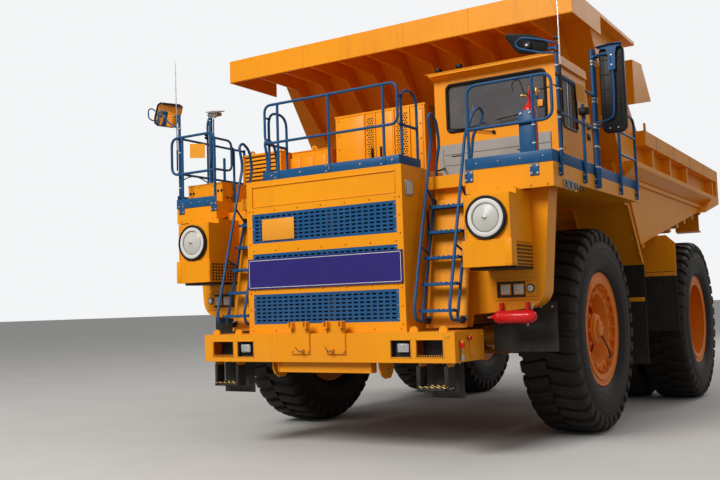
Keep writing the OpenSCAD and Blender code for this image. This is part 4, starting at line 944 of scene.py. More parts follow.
class TRUCK_OT_wheels(bpy.types.Operator):
    """Rim clamps, nuts, hub caps, rolled edges and the hub's hose"""

    bl_idname = "truck.wheels"
    bl_label = "Wheel hardware"

    def execute(self, context):
        count = context.scene.truck_sizes.clamps
        bm = bmesh.new()
        add_box(bm, (0.25, -0.03, 0.5), (0.282, 0.03, 0.606), 0.008)
        add_box(bm, (0.262, -0.02, 0.59), (0.3, 0.02, 0.624), 0.006)
        add_box(bm, (0.25, -0.022, 0.478), (0.268, 0.022, 0.51), 0.004)
        add_rod(bm, (0.24, 0, 0.54), (0.322, 0, 0.54), 0.012, 10)
        add_rod(bm, (0.278, 0, 0.54), (0.286, 0, 0.54), 0.032, 16)
        add_rod(bm, (0.284, 0, 0.54), (0.312, 0, 0.54), 0.027, 6)
        clamp = mesh_of("clamp", bm)
        bm = bmesh.new()
        add_rod(bm, (0.03, 0, 0.262), (0.075, 0, 0.262), 0.02, 6)
        add_rod(bm, (0.03, 0, 0.262), (0.085, 0, 0.262), 0.01, 10)
        nut = mesh_of("hub nut", bm)
        parts = [around("clamps", clamp, count, MATS["wheel"]),
                 around("hub_nuts", nut, 12, MATS["wheel"], 0.13)]
        bm = bmesh.new()
        for profile in RIM_EDGES:
            add_turned(bm, profile, (0, 0, 0), (1, 0, 0), 96, closed=True)
        add_turned(bm, [(0.594, 0.16), (0.594, 0.215), (0.584, 0.222), (0.574, 0.215), (0.57, 0.16)],
                   (0, 0, 0), (1, 0, 0), 96, closed=True)
        add_turned(bm,
                   [(0.196, 0.19), (0.205, 0.205), (0.205, 0.225), (0.196, 0.236), (0.17, 0.236),
                    (0.17, 0.19)], (0, 0, 0), (1, 0, 0), 48, closed=True)
        add_turned(bm,
                   [(0.0, 0.262), (0.098, 0.262), (0.106, 0.27), (0.104, 0.288), (0.088, 0.3), (0.0, 0.304)],
                   (0, 0, 0), (1, 0, 0), 40)
        for i in range(6):
            t = i * math.pi / 3
            y, z = 0.128 * math.cos(t), 0.128 * math.sin(t)
            add_rod(bm, (0.262, y, z), (0.29, y, z), 0.014, 6)
        # Seat of the clamps, a ring with a steep inner wall down to the web
        add_turned(bm,
                   [(0.604, 0.15), (0.604, 0.246), (0.596, 0.256), (0.474, 0.256), (0.46, 0.248),
                    (0.436, 0.2), (0.408, 0.1), (0.4, 0.082), (0.56, 0.082)], (0, 0, 0), (1, 0, 0), 96,
                    closed=True)
        parts.append(mesh_of("rings", bm, [MATS["wheel"]]))
        parts.append(tube_mesh("hose",
                               [Vector(p) for p in ((0.292, 0.01, -0.075), (0.312, 0.03, -0.13),
                                                    (0.322, 0.1, -0.2), (0.318, 0.22, -0.29),
                                                    (0.3, 0.32, -0.36), (0.288, 0.365, -0.385))], 0.01,
                                                    MATS["plastic"]))
        bm = bmesh.new()
        add_rod(bm, (0.27, 0.01, -0.072), (0.3, 0.01, -0.078), 0.017, 6)
        add_rod(bm, (0.255, 0.368, -0.388), (0.295, 0.362, -0.384), 0.016, 6)
        parts.append(mesh_of("fittings", bm, [MATS["zinc"]]))
        front = join_meshes("front_wheel_hardware", parts)
        bm = bmesh.new()
        for profile in RIM_EDGES:
            add_turned(bm, profile, (OUTER_X, 0, 0), (1, 0, 0), 96, closed=True)
        rear = mesh_of("rear_wheel_hardware", bm, [MATS["wheel"]])
        for side, word in ((1, "left"), (-1, "right")):
            hub = moved(front, (side * FRONT_X, FRONT_Y, AXLE_Z), side < 0)
            new_piece(f"front_{word}_hardware", hub, f"front_{word}_wheel", SLOTS["wheel"], 32)
            edges = moved(rear, (0, REAR_Y, AXLE_Z), side < 0)
            new_piece(f"rear_{word}_hardware", edges, f"rear_{word}_wheels", SLOTS["wheel"], 32)
        return {"FINISHED"}


class TRUCK_OT_lamps(bpy.types.Operator):
    """Bumper, fender, deck and work lamps, each with its surround and lens"""

    bl_idname = "truck.lamps"
    bl_label = "Lamps"

    def execute(self, context):
        part = Part("lamp_units", "chassis", "white", "plastic", "lens", "paint", "zinc", "rubber")
        for s in part.sides():
            # Black rubber lines the lamp pocket's walls and floor: painted shade of the recess
            part.box(0.97, 1.219, 0.07, 0.14, 1.13, 1.33, "rubber", 0.0)
            part.border(0.97, 1.219, 0.003, 0.075, 1.13, 1.33, 0.012, "rubber", 0.0)
            cx = 1.112
            part.box(cx - 0.08, cx + 0.08, 0.036, 0.072, 1.186, 1.292, "plastic", 0.014, 3)
            part.box(cx - 0.07, cx + 0.07, 0.03, 0.06, 1.194, 1.284, "white", 0.014, 3)
            part.box(cx - 0.074, cx + 0.074, 0.018, 0.04, 1.19, 1.288, "lens", 0.014, 3)
            part.box(1.93, 2.262, 0.772, 0.8, 1.756, 1.932, "rubber", 0.0)
            part.box(2.262, 2.4, 0.775, 0.79, 1.756, 1.94, "paint", 0.01, 3)
            part.box(1.922, 2.268, 0.775, 0.79, 1.932, 1.94, "paint", 0.002)
            part.box(1.922, 2.268, 0.775, 0.79, 1.748, 1.756, "paint", 0.002)
            for cx in (2.036, 2.19):
                part.box(cx - 0.063, cx + 0.063, 0.762, 0.784, 1.782, 1.908, "paint", 0.01, 3)
                part.box(cx - 0.05, cx + 0.05, 0.757, 0.766, 1.795, 1.895, "white", 0.005, 3)
                part.turned([(0.028, 0), (0.028, 0.003), (0.024, 0.004), (0.024, 0.0)], (cx, 0.757, 1.852),
                            (0, -1, 0), "zinc", 20)
            part.turned([(0.046, 0), (0.048, 0.012), (0.044, 0.016), (0.036, 0.016), (0.036, 0.01)],
                        (2.33, 0.776, 1.85), (0, -1, 0), "plastic", 32)
            part.turned([(0.037, 0.0), (0.036, 0.012), (0.022, 0.017), (0, 0.018)], (2.33, 0.772, 1.85),
                        (0, -1, 0), "white", 32)
            for y in (0.91, 1.055, 1.2):
                part.turned([(0.058, 0), (0.06, 0.012), (0.054, 0.018), (0.0, 0.018)], (2.73, y, 2.985),
                            (s, 0, 0), "zinc", 28)
                part.turned([(0.05, 0.014), (0.046, 0.026), (0.028, 0.034), (0, 0.037)], (2.73, y, 2.985),
                            (s, 0, 0), "lens", 28)
                part.turned([(0.048, 0.014), (0.044, 0.02), (0, 0.021)], (2.73, y, 2.985), (s, 0, 0),
                            "plastic", 28)
            part.box(1.117, 1.13, 0.185, 0.335, 2.94, 3.125, "zinc", 0.004)
            part.box(1.127, 1.158, 0.195, 0.325, 2.95, 3.115, "lens", 0.012, 3)
            part.box(1.127, 1.136, 0.205, 0.315, 2.96, 3.105, "white", 0.004)
        # Work lamps: on the right mast, on a left post and on the cab's roof
        part.plate([(-2.385, 0.8, 4.5), (-2.175, 0.8, 4.47), (-2.175, 0.96, 4.515), (-2.385, 0.96, 4.545)],
                   -0.012, "zinc")
        part.plate([(-2.365, 0.815, 4.49), (-2.195, 0.815, 4.462), (-2.195, 0.915, 4.495),
                    (-2.365, 0.915, 4.523)], 0.045, "zinc")
        part.plate([(-2.355, 0.8135, 4.482), (-2.205, 0.8135, 4.455), (-2.225, 0.84, 4.418),
                    (-2.335, 0.84, 4.44)], 0.03, "lens")
        for x, y, z, w in ((2.775, 1.57, 3.9, 0.055), (0.86, 1.66, 4.725, 0.036), (1.16, 1.66, 4.735, 0.036)):
            part.box(x - w, x + w, y - 0.05, y + 0.035, z - w * 0.75, z + w * 0.75, "plastic", 0.012, 3)
            part.box(x - w * 0.8, x + w * 0.8, y - 0.054, y - 0.046, z - w * 0.55, z + w * 0.55, "plastic")
            part.box(x - 0.012, x + 0.012, y - 0.01, y + 0.02, z - w * 0.75 - 0.05, z - w * 0.7, "plastic",
                     0.002)
        part.done(replaces=("lamps",))
        return {"FINISHED"}


class TRUCK_OT_discs(bpy.types.Operator):
    """Round covers of the air cleaners, in black rings"""

    bl_idname = "truck.discs"
    bl_label = "Air cleaner covers"

    def execute(self, context):
        part = Part("cleaner_covers", "chassis", "white", "plastic", "cone", "zinc")
        for _ in part.sides():
            c = (2.094, 0.194, 2.611)
            part.turned([(0.205, 0), (0.234, 0.0), (0.236, 0.04), (0.228, 0.05), (0.212, 0.05),
                         (0.206, 0.044), (0.204, 0.03)], c, (0, -1, 0), "plastic", 80)
            part.turned([(0.207, 0.0), (0.207, 0.038), (0.2, 0.042), (0.172, 0.044), (0.16, 0.04),
                         (0.158, 0.028)], c, (0, -1, 0), "white", 80)
            part.turned([(0.16, 0.026), (0.15, 0.032), (0.09, 0.046), (0.034, 0.058), (0.022, 0.062),
                         (0.0, 0.063)], c, (0, -1, 0), "cone", 64)
            part.turned([(0.152, 0.03), (0.156, 0.036), (0.15, 0.04), (0.146, 0.034)], c, (0, -1, 0), "zinc",
                        64, closed=True)
            part.turned([(0.018, 0.06), (0.018, 0.072), (0.01, 0.076), (0.0, 0.076)], c, (0, -1, 0), "zinc",
                        16)
            part.box(2.094 - 0.03, 2.094 + 0.03, 0.128, 0.138, 2.605, 2.617, "zinc")
        part.done(replaces=("air_cleaner_discs",))
        return {"FINISHED"}


class TRUCK_OT_mirrors(bpy.types.Operator):
    """The three mirrors with their glass, brackets and visor"""

    bl_idname = "truck.mirrors"
    bl_label = "Mirrors"

    def execute(self, context):
        big = slab(round_rect(-0.15, 0.148, -0.535, 0.535, 0.085), at(3.0, 2.085, 4.225), (1, 0, 0),
                   (0, 0, 1), 0.085, 0.02, ["plastic"], "mirror back")
        glass = slab(round_rect(-0.13, 0.128, -0.515, 0.515, 0.07), at(3.0, 2.09, 4.225), (1, 0, 0),
                     (0, 0, 1), 0.006, 0.0, ["mirror"], "mirror glass")
        part = Part("side_mirrors", "chassis", "plastic", "mirror", "blue", "zinc")
        part.more += [big, glass]
        for z in (3.86, 4.04, 4.22, 4.4, 4.58):
            part.box(2.885, 3.115, 1.994, 2.002, z - 0.005, z + 0.005, "plastic", 0.002)
        for x in (2.905, 3.095):
            part.box(x - 0.005, x + 0.005, 1.994, 2.002, 3.8, 4.64, "plastic", 0.002)
        # Bracket of the big mirror and its visor
        part.tube([(2.762, 2.035, 4.655), (2.9, 1.985, 4.655), (2.985, 1.965, 4.63), (3.01, 1.96, 4.55),
                   (3.02, 1.96, 4.0), (3.0, 1.965, 3.88), (2.93, 1.985, 3.845), (2.762, 2.035, 3.84)], 0.013,
                   "blue")
        top = [(3.148, 4.752), (3.148, 4.724), (3.082, 4.706), (3.066, 4.64), (3.058, 4.44), (2.974, 4.44),
               (2.974, 4.64), (2.952, 4.704), (2.86, 4.712), (2.826, 4.748), (2.92, 4.752), (3.01, 4.764),
               (3.09, 4.768)]
        part.plate([(x, 1.953, z) for x, z in reversed(top)], 0.01, "blue")
        part.plate([(2.826, 1.952, 4.75), (3.01, 1.952, 4.766), (3.148, 1.952, 4.754), (3.148, 1.925, 4.74),
                    (3.01, 1.925, 4.752), (2.826, 1.925, 4.736)], 0.006, "blue")
        for z in (4.5, 4.62):
            part.rod((3.018, 1.945, z), (3.018, 1.975, z), 0.011, "zinc", 6)
        for x in (2.95, 3.05):
            part.rod((x, 1.99, 3.745), (x, 2.005, 3.745), 0.009, "zinc", 8)
        # Upper mirror before the cab, seen from behind, with its loop
        out = [(-0.245, 0.14), (-0.235, 0.165), (-0.2, 0.172), (0.04, 0.128), (0.18, 0.06), (0.232, -0.008),
               (0.238, -0.05), (0.21, -0.078), (0.1, -0.092), (-0.02, -0.086), (-0.1, -0.068), (-0.15, -0.03),
               (-0.19, 0.04)]
        place = at(2.428, 0.785, 4.555)
        part.more.append(slab(out, place, (1, 0.1, 0), (0.0, -0.25, 1), 0.034, 0.012, ["plastic"],
                              "upper mirror back"))
        part.more.append(slab([(u * 0.92, v * 0.88) for u, v in out], place + Vector((0, 0.004, 0.0)),
                              (1, 0.1, 0), (0.0, -0.25, 1), 0.006, 0.0, ["mirror"], "upper mirror glass"))
        part.pipe([(2.752, 0.77, 4.42), (2.6, 0.745, 4.44), (2.33, 0.722, 4.535), (2.295, 0.722, 4.6),
                   (2.37, 0.722, 4.652), (2.6, 0.745, 4.59), (2.752, 0.77, 4.53)], 0.0115, "blue", 0.05)
        part.box(2.385, 2.475, 0.728, 0.765, 4.52, 4.59, "plastic", 0.008, 3)
        part.rod((2.43, 0.722, 4.555), (2.43, 0.745, 4.555), 0.012, "zinc", 8)
        # Right mirror, turned to the driver
        out = [(-0.215, 0.06), (-0.2, 0.125), (-0.155, 0.158), (0.17, 0.178), (0.225, 0.15), (0.215, 0.05),
               (0.14, -0.155), (0.08, -0.178), (-0.17, -0.182), (-0.225, -0.15), (-0.235, -0.08)]
        centre = at(-2.99, 0.7, 4.54)
        across, up = Vector((0.186, 0.983, 0)), Vector((0.179, -0.034, 0.983))
        n = across.cross(up).normalized()
        part.more.append(slab(out, centre, across, up, -0.028, 0.009, ["plastic"], "right mirror back"))
        part.more.append(slab([(u * 0.93, v * 0.93) for u, v in out], centre + n * 0.001, across, up, 0.005,
                              0.0, ["mirror"], "right mirror glass"))
        part.pipe([(-2.752, 0.65, 4.3), (-2.86, 0.66, 4.34), (-2.98, 0.64, 4.44), (-3.03, 0.6, 4.52)], 0.011,
                  "blue", 0.05)
        part.pipe([(-3.03, 0.46, 4.56), (-3.07, 0.44, 4.6), (-3.1, 0.4, 4.58), (-3.1, 0.4, 4.46),
                   (-3.06, 0.44, 4.42), (-3.02, 0.5, 4.43)], 0.0095, "blue", 0.05)
        part.done(replaces=("mirrors",))
        return {"FINISHED"}


# Height of a cushion's seam above its back
SEAM = 0.02


def crowned(name, place, across, up, u, v, high):
    """A cushion: its face swells between seamed edges, and a piping runs round it."""
    across, up = Vector(across), Vector(up)
    out = across.cross(up)
    bm = bmesh.new()
    n = 20
    grid = [[None] * (n + 1) for _ in range(n + 1)]
    for i in range(n + 1):
        for j in range(n + 1):
            a, b = 2 * i / n - 1, 2 * j / n - 1
            swell = (1 - a ** 4) * (1 - b ** 4)
            crease = 0.004 * math.cos(a * 9.0) * (1 - b * b)
            round_off = 1 - 0.05 * a * a * b * b
            lift = SEAM + (high - SEAM) * swell ** 0.5 - crease * swell
            spot = place + across * (a * u * round_off) + up * (b * v * round_off) + out * lift
            grid[i][j] = bm.verts.new(spot)
    top = [
        bm.faces.new((grid[i][j], grid[i + 1][j], grid[i + 1][j + 1], grid[i][j + 1]))
        for i in range(n) for j in range(n)
    ]
    geom = bmesh.ops.extrude_face_region(bm, geom=top)
    for g in geom["geom"]:
        if isinstance(g, bmesh.types.BMVert):
            g.co -= out * (g.co - place).dot(out)
    bmesh.ops.recalc_face_normals(bm, faces=bm.faces)
    mesh = mesh_of(name, bm, [MATS["cloth"]])
    border = round_rect(-0.97, 0.97, -0.97, 0.97, 0.16)
    edge = [place + across * (a * u) + up * (b * v) + out * 0.018 for a, b in border]
    return join_meshes(name, [mesh, tube_mesh(name + "_piping", edge, 0.006, MATS["cloth"], 8, False, True)])


def window_seal(part, plane, value, u0, u1, v0, v1, r, width=0.016):
    """A rubber strip round a window in a plane of constant x or y."""
    pts = [(u, value, v) if plane == "y" else (value, u, v) for u, v in round_rect(u0, u1, v0, v1, r)]
    part.tube(pts, width, "plastic", 8, False, True)


class TRUCK_OT_cab(bpy.types.Operator):
    """Window seals, wiper, hinges, roof trim and the driver's place"""

    bl_idname = "truck.cab"
    bl_label = "Cab"

    def execute(self, context):
        part = Part("cab_trim", "chassis", "plastic", "zinc", "paint", "cloth", "sign")
        front, x0, x1 = 1.75, 0.74, 2.41
        window_seal(part, "y", front - 0.002, x0 + 0.18, x1 - 0.155, 3.92, 4.535, 0.06, 0.02)
        window_seal(part, "x", x0 - 0.002, front + 0.12, front + 0.85, 3.93, 4.52, 0.06, 0.016)
        # Wiper
        part.rod((1.56, front - 0.03, 3.845), (1.56, front + 0.01, 3.845), 0.022, "plastic")
        part.tube([(1.56, front - 0.035, 3.845), (1.4, front - 0.04, 3.88), (1.2, front - 0.034, 3.925)],
                  0.007, "plastic")
        part.tube([(1.47, front - 0.032, 3.975), (1.2, front - 0.036, 3.935), (0.96, front - 0.03, 3.955)],
                  0.009, "plastic")
        part.tube([(1.62, front - 0.032, 3.99), (1.9, front - 0.034, 4.015), (2.1, front - 0.03, 4.06)],
                  0.008, "plastic")
        # Blinds and a mirror strip seen through the windscreen
        part.box(1.0, 1.5, front + 0.1, front + 0.112, 4.4, 4.54, "cloth")
        part.box(1.13, 1.15, front + 0.3, front + 0.32, 3.95, 4.36, "zinc")
        # Roof visor bolts, gutter and lifting eyes
        bolts = part.row((0.8, 1.585, 4.668), (2.36, 1.585, 4.668), 14, 0.022, (0, -0.3, 1))
        bolts += part.row((0.8, 1.742, 4.6), (2.36, 1.742, 4.6), 3, 0.02)
        part.dots(bolts, bolt_shape(), "paint")
        part.rod((x0 - 0.03, 1.578, 4.676), (x1 + 0.03, 1.578, 4.676), 0.007, "paint", 8)
        for x in (1.0, 2.15):
            part.ring((x, 2.3, 4.725), 0.022, 0.045, 0.012, "paint")
            part.box(x - 0.04, x + 0.04, 2.288, 2.312, 4.685, 4.71, "paint")
        # Blank label and latch marks of the grey panel, and the door's latches
        part.box(2.15, 2.215, front - 0.004, front + 0.001, 4.085, 4.165, "sign", 0.001)
        for x, z in ((1.05, 3.6), (1.95, 3.58)):
            part.box(x - 0.08, x + 0.08, front - 0.03, front - 0.02, z - 0.006, z + 0.006, "plastic", 0.002)
        for z in (3.835, 3.975):
            part.box(2.408, 2.424, 2.815, 2.925, z - 0.045, z + 0.045, "plastic", 0.006)
            part.rod((2.418, 2.87, z - 0.02), (2.436, 2.87, z - 0.02), 0.014, "plastic", 10)
        # Arm rests, a lever with its knob, and the seat's padding
        seat = x1 - 0.7
        for s in (-1, 1):
            part.box(seat + s * 0.27, seat + s * 0.33, front + 0.6, front + 0.92, 3.98, 4.03, "cloth", 0.012)
        part.tube([(seat - 0.36, front + 0.62, 3.6), (seat - 0.36, front + 0.6, 3.95),
                   (seat - 0.37, front + 0.57, 4.02)], 0.012, "plastic")
        part.turned([(0, 0), (0.028, 0.012), (0.03, 0.035), (0, 0.055)], (seat - 0.37, front + 0.57, 4.01),
                    (0, 0, 1), "plastic", 16)
        part.done()
        for name, u, v, place, up in (("seat_cushion", 0.25, 0.24, (seat, front + 0.73, 3.77), (0, 1, 0)),
                                      ("seat_back", 0.23, 0.26, (seat, front + 0.96, 4.11), (0, 0, 1)),
                                      ("seat_headrest", 0.13, 0.075, (seat, front + 0.965, 4.44), (0, 0, 1))):
            cushion = crowned(name, at(*place), (1, 0, 0), up, u, v, 0.085)
            piece = new_piece(name, cushion, "chassis", SLOTS["cloth"], 60)
        door = Part("door_trim", "cab_door", "plastic", "zinc", "glass", "paint", "cloth")
        y0 = 1.825
        window_seal(door, "x", x1 + 0.002, y0 + 0.065, y0 + 0.6, 3.83, 4.46, 0.06, 0.016)
        door.box(2.386, 2.391, y0 + 0.05, y0 + 0.615, 3.815, 4.475, "glass", 0.0)
        door.box(2.384, 2.396, y0 + 0.315, y0 + 0.345, 3.83, 4.46, "zinc", 0.002)
        door.box(2.384, 2.394, y0 + 0.39, y0 + 0.408, 3.84, 4.45, "plastic", 0.002)
        door.box(2.409, 2.416, y0 + 0.825, y0 + 0.9, 3.775, 4.025, "plastic")
        door.box(2.412, 2.424, y0 + 0.85, y0 + 0.88, 3.86, 3.9, "zinc")
        pts = door.row((2.411, y0 + 0.03, 3.42), (2.411, y0 + 0.03, 4.53), 2, 0.018, (1, 0, 0))
        door.dots(pts, rivet_shape(), "paint")
        for z in (3.55, 4.33):
            door.box(2.409, 2.428, y0 + 0.0, y0 + 0.07, z - 0.022, z + 0.022, "plastic", 0.004)
        door.rod((2.33, y0 + 0.75, 3.95), (2.36, y0 + 0.75, 3.95), 0.02, "plastic")
        door.done()
        return {"FINISHED"}


class TRUCK_OT_front(bpy.types.Operator):
    """Board, blank signs, hook plates, connector and bolts of the front"""

    bl_idname = "truck.front"
    bl_label = "Front"

    def execute(self, context):
        part = Part("front_trim", "chassis", "paint", "white", "sign", "zinc", "bottle", "plastic", "brass")
        # Thin white border of the board
        part.border(-1.085, 1.085, 0.0912, 0.0935, 1.972, 2.313, 0.007, "white", 0.0)
        # Blank sign on the upper grille
        part.box(-0.872, -0.385, 0.098, 0.106, 2.553, 2.816, "sign", 0.002)
        for x in (-0.85, -0.41):
            for z in (2.575, 2.795):
                part.rod((x, 0.094, z), (x, 0.112, z), 0.007, "zinc", 8)
        # Bolts of the housing's face and the grilles
        bolts = part.row((-1.05, 0.1125, 1.45), (1.05, 0.1125, 1.45), 7, 0.018)
        for z in (1.944, 2.434, 2.929):
            bolts += part.row((-1.02, 0.1125, z), (1.02, 0.1125, z), 7, 0.018)
        for x in (-1.076, 1.076):
            bolts += part.row((x, 0.1125, 1.5), (x, 0.1125, 2.93), 8, 0.018)
        part.dots(bolts, bolt_shape(), "paint")
        grille = []
        for z in (1.527, 2.028, 2.525):
            for x in (-1.018, 1.018):
                grille += part.row((x, 0.1125, z + 0.03), (x, 0.1125, z + 0.334), 3, 0.016)
        part.dots(grille, rivet_shape(), "zinc")
        # Post and bars seen through the grilles
        part.box(0.09, 0.165, 0.15, 0.162, 1.46, 2.92, "paint", 0.0)
        for z in (1.59, 1.675, 1.76, 1.83):
            part.box(-0.98, 0.98, 0.165, 0.172, z, z + 0.022, "paint", 0.0)
        # Hook plates: bolts, latch pins and their wires
        pts = []
        for _ in part.sides():
            for x in (0.138, 0.362):
                pts += part.row((x, -0.0195, 1.205), (x, -0.0195, 1.435), 2, 0.024)
        part.dots(pts, bolt_shape(), "paint")
        for x in (0.21, -0.21):
            part.rod((x, -0.02, 1.215), (x, -0.078, 1.215), 0.011, "zinc")
            part.box(x - 0.022, x + 0.022, -0.05, -0.04, 1.19, 1.245, "paint")
            part.tube([(x, -0.073, 1.215), (x - 0.02, -0.075, 1.2), (x - 0.05, -0.07, 1.222),
                       (x - 0.09, -0.05, 1.255)], 0.004, "plastic")
        # Lifting eyes behind the bumper's top edge and step lips
        for s in part.sides():
            for x in (1.24, 1.6):
                part.rod((x, 0.046, 1.42), (x, 0.074, 1.42), 0.052, "paint", 28)
                part.box(x - 0.045, x + 0.045, 0.048, 0.072, 1.405, 1.425, "paint")
            for x0, x1 in ((0.956, 1.233), (1.277, 1.628)):
                part.border(x0, x1, -0.005, 0.004, 1.126, 1.334, 0.012, "paint")
            # Black plate at the back of the step hole: painted shade of the hole
            part.box(1.289, 1.616, 0.17, 0.18, 1.128, 1.332, "plastic", 0.0)
            # Toothed lip of the step hole
            part.dots(part.row((1.32, 0.012, 1.15), (1.59, 0.012, 1.15), 10, 0.022, (0, 0, 1)), tooth_shape(),
                      "paint")
            # Plates on the bumper's ends
            part.box(1.757, 1.763, 0.36, 0.7, 1.11, 1.38, "paint", 0.004)
            pts = part.row((1.763, 0.385, 1.135), (1.763, 0.675, 1.135), 2, 0.024, (s, 0, 0))
            pts += part.row((1.763, 0.385, 1.355), (1.763, 0.675, 1.355), 2, 0.024, (s, 0, 0))
            part.dots(pts, bolt_shape(), "paint")
        # Connector and red knob on the left end
        part.rod((1.785, 0.12, 1.16), (1.785, 0.12, 1.235), 0.016, "brass")
        part.rod((1.785, 0.12, 1.235), (1.785, 0.12, 1.285), 0.027, "bottle", 16)
        part.rod((1.785, 0.12, 1.283), (1.785, 0.12, 1.315), 0.02, "sign", 12)
        part.rod((1.785, 0.12, 1.098), (1.785, 0.12, 1.162), 0.022, "zinc", 8)
        part.rod((1.757, 0.12, 1.3), (1.785, 0.12, 1.3), 0.012, "plastic")
        part.rod((1.757, 0.315, 1.33), (1.782, 0.315, 1.33), 0.012, "plastic")
        part.turned([(0.02, 0), (0.028, 0.008), (0.026, 0.02), (0, 0.027)], (1.78, 0.315, 1.33), (1, 0, 0),
                    "bottle", 20)
        part.box(1.64, 1.7, -0.006, 0.001, 1.345, 1.385, "paint", 0.002)
        for s in part.sides():
            ear = [(0.1, 1.08), (0.1, 1.0), (0.14, 0.925), (0.22, 0.88), (0.34, 0.885), (0.4, 0.96),
                   (0.42, 1.08)]
            part.plate([(0.742, y, z) for y, z in (ear if s < 0 else reversed(ear))], 0.022, "paint")
            part.rod((0.765, 0.27, 0.985), (0.7, 0.27, 0.985), 0.04, "paint", 20)
            part.rod((0.775, 0.27, 0.985), (0.7, 0.27, 0.985), 0.018, "zinc", 12)
        # Edge bead of the top panel's recess
        part.border(-1.036, 1.036, 0.106, 0.116, 2.974, 3.236, 0.012, "paint")
        part.done()
        return {"FINISHED"}


class TRUCK_OT_ladders(bpy.types.Operator):
    """Ladders: bent rails, rear tubes, treads with toothed edges, struts and brackets"""

    bl_idname = "truck.ladders"
    bl_label = "Ladders"

    def execute(self, context):
        part = Part("ladder_set", "chassis", "blue", "zinc", "plastic")
        bolts = []

        def lean(z):
            """How far behind the bumper's face the treads' front edge lies at a height."""
            return 0.226 + 0.297 * (z - 1.65)

        inner, outer = 1.2125, 1.6475
        foot = [(0.455, 1.52), (0.165, 1.528), (0.126, 1.66), (0.69, 3.64)]
        small = [(0.625, 3.9), (0.7, 3.96), (0.835, 3.88), (0.895, 3.62), (0.79, 3.33), (0.79, 3.202)]
        wide = [(0.96, 3.96), (1.12, 4.045), (1.235, 3.985), (1.15, 3.86), (0.92, 3.68), (0.86, 3.46),
                (0.79, 3.202)]
        for s in part.sides():
            for x, loop in ((inner, small), (outer, wide if s > 0 else small)):
                part.pipe([(x, y, z) for y, z in foot + loop], 0.0185, "blue", 0.1)
                part.pipe([(x, lean(1.545) + 0.112, 1.532), (x, lean(2.895) + 0.112, 2.895)], 0.018, "blue")
                part.pipe([(x, lean(2.36) - 0.095, 2.36), (x, lean(2.29) + 0.112, 2.29)], 0.013, "blue")
                part.pipe([(x, lean(3.04) - 0.095, 3.04), (x, lean(2.89) + 0.105, 2.89)], 0.013, "blue")
                part.box(x - 0.022, x + 0.022, 0.408, 0.474, 1.488, 1.552, "plastic", 0.006)
                part.box(x - 0.04, x + 0.04, 0.47, 0.48, 1.47, 1.57, "blue")
                part.box(x - 0.018, x + 0.018, 0.69, 0.735, 2.865, 2.935, "plastic", 0.005)
                part.turned([(0.03, -0.007), (0.036, 0.0), (0.03, 0.007), (0.019, 0.007), (0.019, -0.007)],
                            (x, 0.79, 3.21), (0, 0, 1), "blue", 20, True)
                bolts += part.row((x - 0.028, 0.4685, 1.49), (x + 0.028, 0.4685, 1.55), 2, 0.018)
            for i in range(5):
                z = 1.65 + i * 0.298
                y = lean(z)
                part.box(inner, outer, y + 0.004, y + 0.138, z - 0.012, z - 0.006, "blue", 0.001)
                for dy in (0.0, 0.134):
                    edge = [(inner + 0.435 * k / 56, y + dy,
                             z + 0.006 * math.cos(k * math.pi / 4) + 0.001) for k in range(57)]
                    part.plate(edge + [(outer, y + dy, z - 0.034), (inner, y + dy, z - 0.034)], -0.005 * s,
                               "blue")
                for x in (1.3, 1.43, 1.56):
                    part.box(x - 0.003, x + 0.003, y + 0.004, y + 0.134, z - 0.03, z - 0.008, "blue", 0.0)
                bolts += part.row((1.65, y + 0.112, z - 0.018), (1.68, y, z), 1, 0.016, (s, 0, 0))
        part.dots(bolts, bolt_shape(), "zinc")
        part.done(36, ("ladders",))
        return {"FINISHED"}


def bands(part, places, r, key="zinc", h=0.014):
    """Clamp bands round upright tubes."""
    for x, y, z in places:
        part.ring((x, y, z), r + 0.0005, r + 0.0045, h / 2, key, (0, 0, 1))


